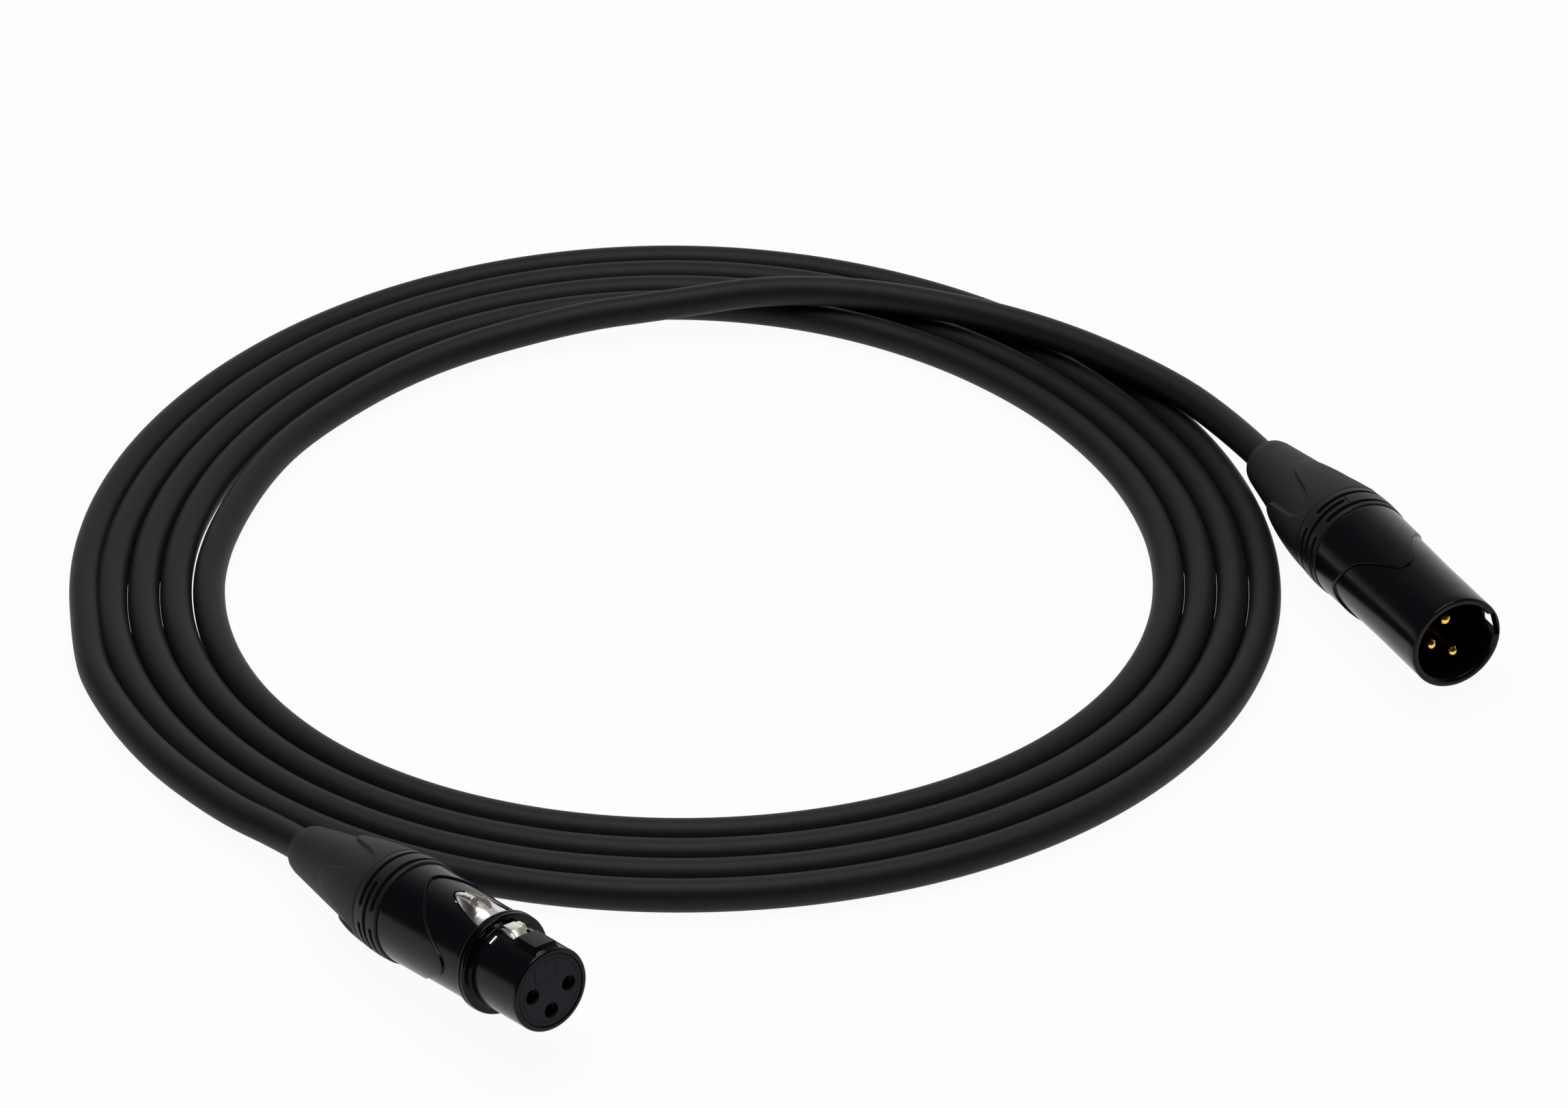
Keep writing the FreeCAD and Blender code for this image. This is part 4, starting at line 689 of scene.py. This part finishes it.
# %% Shell of the pin plug
PIN_LEAF = [(0, 61.5), (5, 61.35), (10, 60.6), (15, 59.0), (22, 56.6), (30, 54.1), (38, 51.9), (46, 50.7),
            (54, 49.8), (62, 48.9), (70, 47.9), (78, 47.0), (84, 46.6), (90, 46.5)]
pin_front = [(70.0, 9.6), (75.0, 9.6), (76.95, 9.6), (77.12, 9.57), (77.26, 9.48), (77.35, 9.36),
             (77.4, 9.2)]
pin_bore = [(77.4, 8.62), (77.33, 8.5), (77.0, 8.2), (76.85, 8.12), (76.6, 8.1), (69.0, 8.1), (62.2, 8.1),
            (61.9, 8.1), (55.0, 8.1), (52.0, 8.1), (52.0, 8.6), (46.0, 8.6), (39.7, 8.6)]
points, faces = leafed_shell(39.7, 10.4, 0.45, PIN_LEAF, pin_front, pin_bore)
pin_shell = piece_from("pin_plug_shell", points, faces, SHELL_COAT, "cable", PIN_PLUG)
cut_from(pin_shell, PIN_PLUG, [
    prism([(62.7, 6.5), (78.4, 6.5), (78.4, 8.93), (62.7, 8.93)], -2.65, 2.65, axis="across"),
    prism(rounded_outline(71.4, 75.2, 2.65, 0.5), 6.0, 12.0),
])
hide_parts("male_shell")

# %% [markdown]
# The socket plug's shell steps down to a thin nose, with a flat key ridge on top. The latch's window is a
# teardrop in the mantle, narrow at the hinge and widest at the front ring.

# %% Shell of the socket plug
SOCKET_LEAF = [(0, 54.5), (6, 54.3), (12, 53.5), (18.6, 51.9), (26, 50.0), (34, 48.1), (41.3, 46.5),
               (50, 45.0), (58, 43.9), (66, 42.7), (74, 41.5), (82, 40.5), (90, 40.2)]
socket_front = [(58.0, 9.0), (58.7, 9.0), (58.87, 8.95), (58.96, 8.85), (59.0, 8.7), (59.0, 7.95)]
socket_front += [(place, 7.95) for place in np.linspace(61.0, 73.4, 32)]
socket_front += [(73.62, 7.93), (73.82, 7.84), (73.95, 7.7), (74.0, 7.52)]
socket_bore = [(74.0, 7.12), (73.93, 7.03), (73.8, 7.0), (60.0, 7.0), (47.2, 7.0), (47.0, 8.15),
               (41.0, 8.15), (35.2, 8.15)]
points, faces = leafed_shell(35.2, 9.55, 0.35, SOCKET_LEAF, socket_front, socket_bore)
points = np.array(points)
KEY_START = 67.2
KEY_END = 72.95
KEY_NEAR_SIDE = -2.5
KEY_FAR_SIDE = 2.45
KEY_TOP = 8.75
KEY_ROUNDNESS = 0.35


def raise_key(points):
    """Lifts the nose to a nearly flat ridge between two places along, with rounded edges."""
    along, across, up = points.T
    radius = np.hypot(across, up)
    on_nose = (radius > 7.5) & (up > 0) & (along > 62.0)
    inside = smooth(along - KEY_START, 0.12) * smooth(KEY_END - along, 0.25)
    inside = inside * smooth(across - KEY_NEAR_SIDE, 0.45) * smooth(KEY_FAR_SIDE - across, 0.12)
    top = np.sqrt(np.maximum(0.0, KEY_TOP ** 2 - KEY_ROUNDNESS * across ** 2))
    lifted = np.where(on_nose, up + (top - up) * inside, up)
    return np.stack([along, across, lifted], axis=1)


points = raise_key(points)
socket_shell = piece_from("socket_plug_shell", points, faces, SHELL_COAT, "cable",
                          SOCKET_PLUG)
teardrop = [(59.6, -4.25), (58.0, -4.15), (56.0, -3.85), (54.0, -3.45), (52.0, -2.95), (50.5, -2.5),
            (49.2, -2.05), (48.2, -1.6), (47.4, -1.05), (46.95, -0.5), (46.8, 0.0)]
teardrop += [(along, -across) for along, across in teardrop[-2::-1]]
cut_from(socket_shell, SOCKET_PLUG, [
    prism(teardrop, 5.0, 12.0),
    prism([(58.0, -2.3), (67.1, -2.3), (67.1, 2.3), (58.0, 2.3)], 5.0, 12.0),
])
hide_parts("female_shell")

# %% [markdown]
# A glossy ring closes the latch's window at the front. It is turned brass with a fine groove round its
# middle and small chamfers, and a thin foot stands in front of it where the nose begins.

# %% Front ring of the socket plug
ring_rows = [(59.0, 7.97), (59.0, 9.3), (59.03, 9.42), (59.12, 9.55), (59.25, 9.63), (59.4, 9.65),
             (59.78, 9.65), (59.86, 9.62), (59.9, 9.5), (59.92, 9.4), (60.08, 9.4), (60.1, 9.5),
             (60.14, 9.58), (60.22, 9.6), (60.66, 9.58), (60.84, 9.5), (60.93, 9.38), (60.97, 9.2),
             (60.97, 8.5), (60.99, 8.38), (61.08, 8.3), (61.35, 8.27), (61.45, 8.2), (61.5, 8.08),
             (61.5, 7.97)]
points, faces = turned(ring_rows, round_the_axis(240))
front_ring = piece_from("socket_plug_front_ring", points, faces, RING_COAT, "cable",
                        SOCKET_PLUG, sharp=50.0)
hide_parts("female_front_ring")
cut_from(front_ring, SOCKET_PLUG, [
    prism([(59.5, -2.15), (62.0, -2.15), (62.0, 2.15), (59.5, 2.15)], 6.5, 8.6),
])

# %% [markdown]
# The latch is one zinc casting, plated bright. Its thumb pad is a teardrop with two polished flanks that
# rise to low ridges. Between the ridges a dish holds the thumb, and in its rear half a half round rib with
# a flat end runs back over the hinge. The pad is a grid of points whose height is worked out point by point,
# closed underneath, so that the dish and the slits beside the rib are real hollows.

# %% Thumb pad of the latch
PAD_OUTLINE = np.array([(46.95, 0.25), (47.2, 0.62), (47.6, 0.95), (48.3, 1.38), (49.2, 1.78),
                        (50.5, 2.25), (52.0, 2.7), (54.0, 3.2), (56.0, 3.6), (58.0, 3.88), (58.72, 3.93)])
PAD_RIDGE = np.array([(46.95, 8.85), (48.0, 9.25), (49.5, 9.62), (51.5, 9.8), (54.0, 9.72), (56.0, 9.45),
                      (57.2, 9.0), (58.0, 8.72), (58.72, 8.6)])
DISH_HALF = np.array([(46.95, 0.1), (47.6, 0.5), (48.6, 1.1), (50.0, 1.35), (53.0, 1.6), (55.0, 1.35),
                      (56.4, 0.7)])
PAD_START = 46.95
PAD_END = 58.72
DISH_START = 47.5
DISH_END = 56.3
DISH_DEPTH = 1.25
RIM_RADIUS = 9.0
RIM_DROP = 0.25
RIB_START = 47.9
RIB_END = 52.1
RIB_RADIUS = 0.98
RIB_DEPTH = 0.95
UNDERSIDE = 6.7


def pad_height(along, across, half):
    """Height of the pad's top: flanks up to the ridges, then the dish with the rib in it."""
    ridge = np.interp(along, PAD_RIDGE[:, 0], PAD_RIDGE[:, 1])
    dish = np.interp(along, DISH_HALF[:, 0], DISH_HALF[:, 1])
    rim = np.sqrt(np.maximum(1.0, RIM_RADIUS ** 2 - half ** 2)) - RIM_DROP
    out = np.clip((np.abs(across) - dish) / np.maximum(half - dish, 0.05), 0.0, 1.0)
    flank = ridge + (rim - ridge) * out ** 1.35
    sunk = smooth(dish - np.abs(across), 0.14) * smooth(along - DISH_START, 0.2)
    sunk = sunk * smooth(DISH_END - along, 0.3)
    floor = ridge - DISH_DEPTH + 0.25 * (along - 52.0).clip(0.0, 4.0) / 4.0 + 0.12 * across ** 2
    height = flank + (floor - flank) * sunk
    rib = ridge - RIB_DEPTH + np.sqrt(np.maximum(0.0, RIB_RADIUS ** 2 - across ** 2))
    on_rib = smooth(RIB_RADIUS - 0.05 - np.abs(across), 0.07)
    on_rib = on_rib * smooth(RIB_END - along, 0.08) * smooth(along - RIB_START, 0.2)
    return height + (rib - height) * on_rib


along = rows_with_edges(PAD_START, PAD_END, 0.16, [DISH_START, RIB_END, DISH_END], 0.14)
part = np.linspace(-1.0, 1.0, 97)
half = np.interp(along, PAD_OUTLINE[:, 0], PAD_OUTLINE[:, 1])
across = half[:, None] * part[None, :]
grid_along = np.repeat(along[:, None], len(part), axis=1)
top = pad_height(grid_along, across, half[:, None])
top = top - 0.16 * np.clip((np.abs(part)[None, :] - 0.93) / 0.07, 0.0, 1.0) ** 2
under = np.full_like(top, UNDERSIDE)
layers = [np.stack([grid_along, across, layer], axis=2) for layer in (top, under)]
points = np.concatenate([layer.reshape(-1, 3) for layer in layers])
rows, columns = top.shape
faces = []
for row in range(rows - 1):
    for column in range(columns - 1):
        first = row * columns + column
        corners = (first, first + columns, first + columns + 1, first + 1)
        faces.append(corners)
        faces.append(tuple(corner + rows * columns for corner in reversed(corners)))
border = [row * columns for row in range(rows)]
border += [(rows - 1) * columns + column for column in range(1, columns)]
border += [row * columns + columns - 1 for row in range(rows - 2, -1, -1)]
border += list(range(columns - 2, 0, -1))
for here, there in zip(border, border[1:] + border[:1]):
    faces.append((there, here, here + rows * columns, there + rows * columns))
latch_pad = piece_from("socket_plug_latch_pad", points, faces, NICKEL, "latch", SOCKET_PLUG)
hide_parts("latch_lever")
print("latch pad:", len(points), "points, highest", round(float(top.max()), 2), "mm from the axis")

# %% [markdown]
# From the pad an arm runs forward under the front ring and ends in the hook that holds a mated plug. The
# hook is a block with a ramp at its front, a long facet along its near side and a shorter step on its far
# side. It is an extruded outline whose edges are broken with a narrow bevel, as on the casting.

# %% Hook of the latch
def bevelled(name, outline, low, high, width):
    """A block of the hook: (along, up) drawn across from low to high, its edges broken by a bevel."""
    points, faces = prism(outline, low, high, axis="across")
    piece = piece_from(name, points, faces, NICKEL, "latch", SOCKET_PLUG)
    bevel = piece.modifiers.new("broken_edges", "BEVEL")
    bevel.width = width * MM
    bevel.segments = 3
    bevel.limit_method = "ANGLE"
    bevel.angle_limit = math.radians(20.0)
    bpy.context.view_layer.update()
    graph = bpy.context.evaluated_depsgraph_get()
    piece.data = bpy.data.meshes.new_from_object(piece.evaluated_get(graph))
    piece.modifiers.clear()
    piece.data.shade_smooth()
    piece.data.set_sharp_from_angle(angle=math.radians(28.0))


ARM_AND_HOOK = [(57.6, 6.75), (66.5, 6.75), (66.5, 8.05), (65.2, 8.93), (62.6, 8.93), (62.45, 8.8),
                (62.45, 7.36), (57.6, 7.36)]
NEAR_FACET = [(61.6, 6.8), (66.4, 6.8), (66.4, 7.85), (65.3, 8.5), (62.7, 8.5), (61.6, 7.4)]
FAR_STEP = [(61.6, 6.8), (65.0, 6.8), (65.0, 8.1), (64.3, 8.72), (62.7, 8.72), (61.6, 7.4)]
bevelled("socket_plug_latch_hook", ARM_AND_HOOK, -1.55, 0.95, 0.09)
bevelled("socket_plug_latch_hook_side", NEAR_FACET, -2.0, -1.5, 0.16)
bevelled("socket_plug_latch_hook_step", FAR_STEP, 0.9, 2.0, 0.14)

# %% [markdown]
# Beside the hook the end of the earth spring stands out of the nose. It is a strip of spring steel bent to
# a low hump, and it is bright because every plugging wipes it clean.

# %% Earth tab
TAB_TURN = 30.0
TAB_THICKNESS = 0.3
TAB_UNDERSIDE = 6.85
hump = [(60.9, 7.05), (61.9, 7.2), (62.15, 7.75), (62.35, 8.12), (62.75, 8.28), (63.15, 8.1), (63.35, 7.7),
        (63.6, 7.2), (64.5, 7.05), (70.0, 7.05)]
strip = hump + [(place, max(TAB_UNDERSIDE, height - TAB_THICKNESS)) for place, height in hump[::-1]]
points, faces = prism(strip, -0.9, 0.9, axis="across")
turn = Matrix.Rotation(math.radians(TAB_TURN), 4, "X")
points = [tuple(turn @ Vector(p)) for p in points]
earth_tab = piece_from("socket_plug_earth_tab", points, faces, SPRING_STEEL, "cable",
                       SOCKET_PLUG, sharp=50.0)
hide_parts("female_earth_spring")

# %% [markdown]
# The face of the socket plug is the end of the moulded insert. A thin plate carries what the mould left
# there: a hairline circle where the insert meets its sleeve, the outline of a key tab, and the three holes.

# %% Face of the socket plug
def ring_cutter(low, high, inner, outer):
    """A closed ring as a cutter, between two places along and two radii."""
    return turned([(low, inner), (high, inner), (high, outer), (low, outer)], round_the_axis(96))


def round_cutter(low, high, radius, across, up, around=48):
    """A closed cylinder as a cutter, off the axis."""
    points = []
    for place in (low, high):
        for step in range(around):
            angle = math.tau * step / around
            points.append((place, across + radius * math.cos(angle), up + radius * math.sin(angle)))
    return points, block_faces(around)


def line_cutter(start, end, width, low, high):
    """A thin straight cutter between two spots (across, up) of the face."""
    (a, b), (c, d) = start, end
    length = math.hypot(c - a, d - b)
    side = (-(d - b) / length * width / 2, (c - a) / length * width / 2)
    corners = [(a + side[0], b + side[1]), (c + side[0], d + side[1]),
               (c - side[0], d - side[1]), (a - side[0], b - side[1])]
    points = [(place, *corner) for place in (low, high) for corner in corners]
    return points, block_faces(4)


FACE = 73.84
FACE_RADIUS = 6.86
FACE_THICKNESS = 0.24
HOLE_RADIUS = 1.5
CONTACTS = ((-4, 0), (4, 0), (0, -4))
points, faces = round_cutter(FACE - FACE_THICKNESS, FACE, FACE_RADIUS, 0.0, 0.0, around=160)
face = piece_from("socket_plug_face", points, faces, INSERT_PBT, "cable", SOCKET_PLUG)
cutters = [round_cutter(FACE - 1.0, FACE + 1.0, HOLE_RADIUS, across, up) for across, up in CONTACTS]
cutters.append(ring_cutter(FACE - 0.1, FACE + 0.5, 6.02, 6.1))
tab = [(-3.5, 6.1), (-3.3, 2.15), (0.9, 2.0), (1.4, 5.5)]
for start, end, width in zip(tab, tab[1:], (0.14, 0.07, 0.07)):
    cutters.append(line_cutter(start, end, width, FACE - 0.12, FACE + 0.5))
cut_from(face, SOCKET_PLUG, cutters)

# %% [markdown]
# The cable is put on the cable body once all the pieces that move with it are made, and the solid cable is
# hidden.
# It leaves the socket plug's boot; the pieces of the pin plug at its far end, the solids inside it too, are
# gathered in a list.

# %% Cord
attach(cable, "cable")
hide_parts("cable_coil", "cable_tail_female", "cable_tail_male")
pin_plug_pieces = [pin_boot, pin_grip, pin_shell]
pin_plug_pieces += [node for name, node in frame["nodes"].items()
                    if name.startswith("male_") and not node.hide_render]

# %% [markdown]
# The cable lies on a white table in a room that is bright at the far right and dark on its other sides,
# which keeps the black shells black. The camera sees the table almost white, with a soft shadow left in it,
# and polished metal mirrors the same white.

# %% Table and room
def white_table():
    """White paint that shows a soft shadow, mixed with an even white for the camera and for mirrors."""
    finish, tree = new_finish("white_table")[:2]
    path = add(tree, "ShaderNodeLightPath")
    mirror = add(tree, "ShaderNodeMath", {0: path.outputs["Is Glossy Ray"],
                                          1: path.outputs["Is Transmission Ray"]}, operation="MAXIMUM")
    seen = add(tree, "ShaderNodeMath", {0: path.outputs["Is Camera Ray"], 1: mirror.outputs[0]},
               operation="MAXIMUM")
    part = add(tree, "ShaderNodeMath", {0: seen.outputs[0], 1: 0.95}, operation="MULTIPLY")
    paint = add(tree, "ShaderNodeBsdfDiffuse", {"Color": linear("#f4f4f4")})
    glow = add(tree, "ShaderNodeEmission", {"Color": linear("#ffffff"), "Strength": 1.0})
    close(tree, add(tree, "ShaderNodeMixShader", {0: part.outputs[0], 1: paint.outputs[0],
                                                  2: glow.outputs[0]}))
    return finish


reach = 3.0
table_mesh = bpy.data.meshes.new("table")
table_mesh.from_pydata([(-reach, -reach, 0), (reach, -reach, 0), (reach, reach, 0), (-reach, reach, 0)],
                       [], [(0, 1, 2, 3)])
table_mesh.materials.append(white_table())
table = bpy.data.objects.new("table", table_mesh)
table.location.z = -0.0001
bpy.context.scene.collection.objects.link(table)

FAR_RIGHT = (-0.64, 0.77, 0.0)
room = bpy.data.worlds.new("white_room")
bpy.context.scene.world = room
room.use_nodes = True
tree = room.node_tree
tree.nodes.clear()
path = add(tree, "ShaderNodeLightPath")
direction = add(tree, "ShaderNodeTexCoord")
height = add(tree, "ShaderNodeSeparateXYZ", {"Vector": direction.outputs["Generated"]})
shade = add(tree, "ShaderNodeMapRange", {"Value": height.outputs["Z"], "From Min": 0.15, "From Max": 0.8,
                                         "To Min": 1.0, "To Max": 0.15}, interpolation_type="SMOOTHSTEP")
away = add(tree, "ShaderNodeVectorMath", {0: direction.outputs["Generated"], 1: FAR_RIGHT},
           operation="DOT_PRODUCT")
side = add(tree, "ShaderNodeMapRange", {"Value": away.outputs["Value"], "From Min": 0.15, "From Max": 0.75,
                                        "To Min": 0.06, "To Max": 1.0}, interpolation_type="SMOOTHSTEP")
level = add(tree, "ShaderNodeMath", {0: shade.outputs[0], 1: side.outputs[0]}, operation="MULTIPLY")
lit = add(tree, "ShaderNodeBackground", {"Color": linear("#ffffff"), "Strength": level.outputs[0]})
white = add(tree, "ShaderNodeBackground", {"Color": linear("#ffffff"), "Strength": 1.0})
mixed = add(tree, "ShaderNodeMixShader", {0: path.outputs["Is Camera Ray"], 1: lit.outputs[0],
                                          2: white.outputs[0]})
add(tree, "ShaderNodeOutputWorld", {"Surface": mixed.outputs[0]})

# %% [markdown]
# One wide soft lamp hangs above the coil and looks at its middle, so the shadows beside the turns and under
# the plugs are soft and short.

# %% Lamp
light = bpy.data.lights.new("overhead_softbox", "AREA")
light.shape = "SQUARE"
light.size = 0.9
light.energy = 10.0
lamp = bpy.data.objects.new("overhead_softbox", light)
lamp.location = (-0.05, 0.0, 1.2)
lamp.rotation_euler = (-lamp.location).to_track_quat("-Z", "Y").to_euler()
bpy.context.scene.collection.objects.link(lamp)
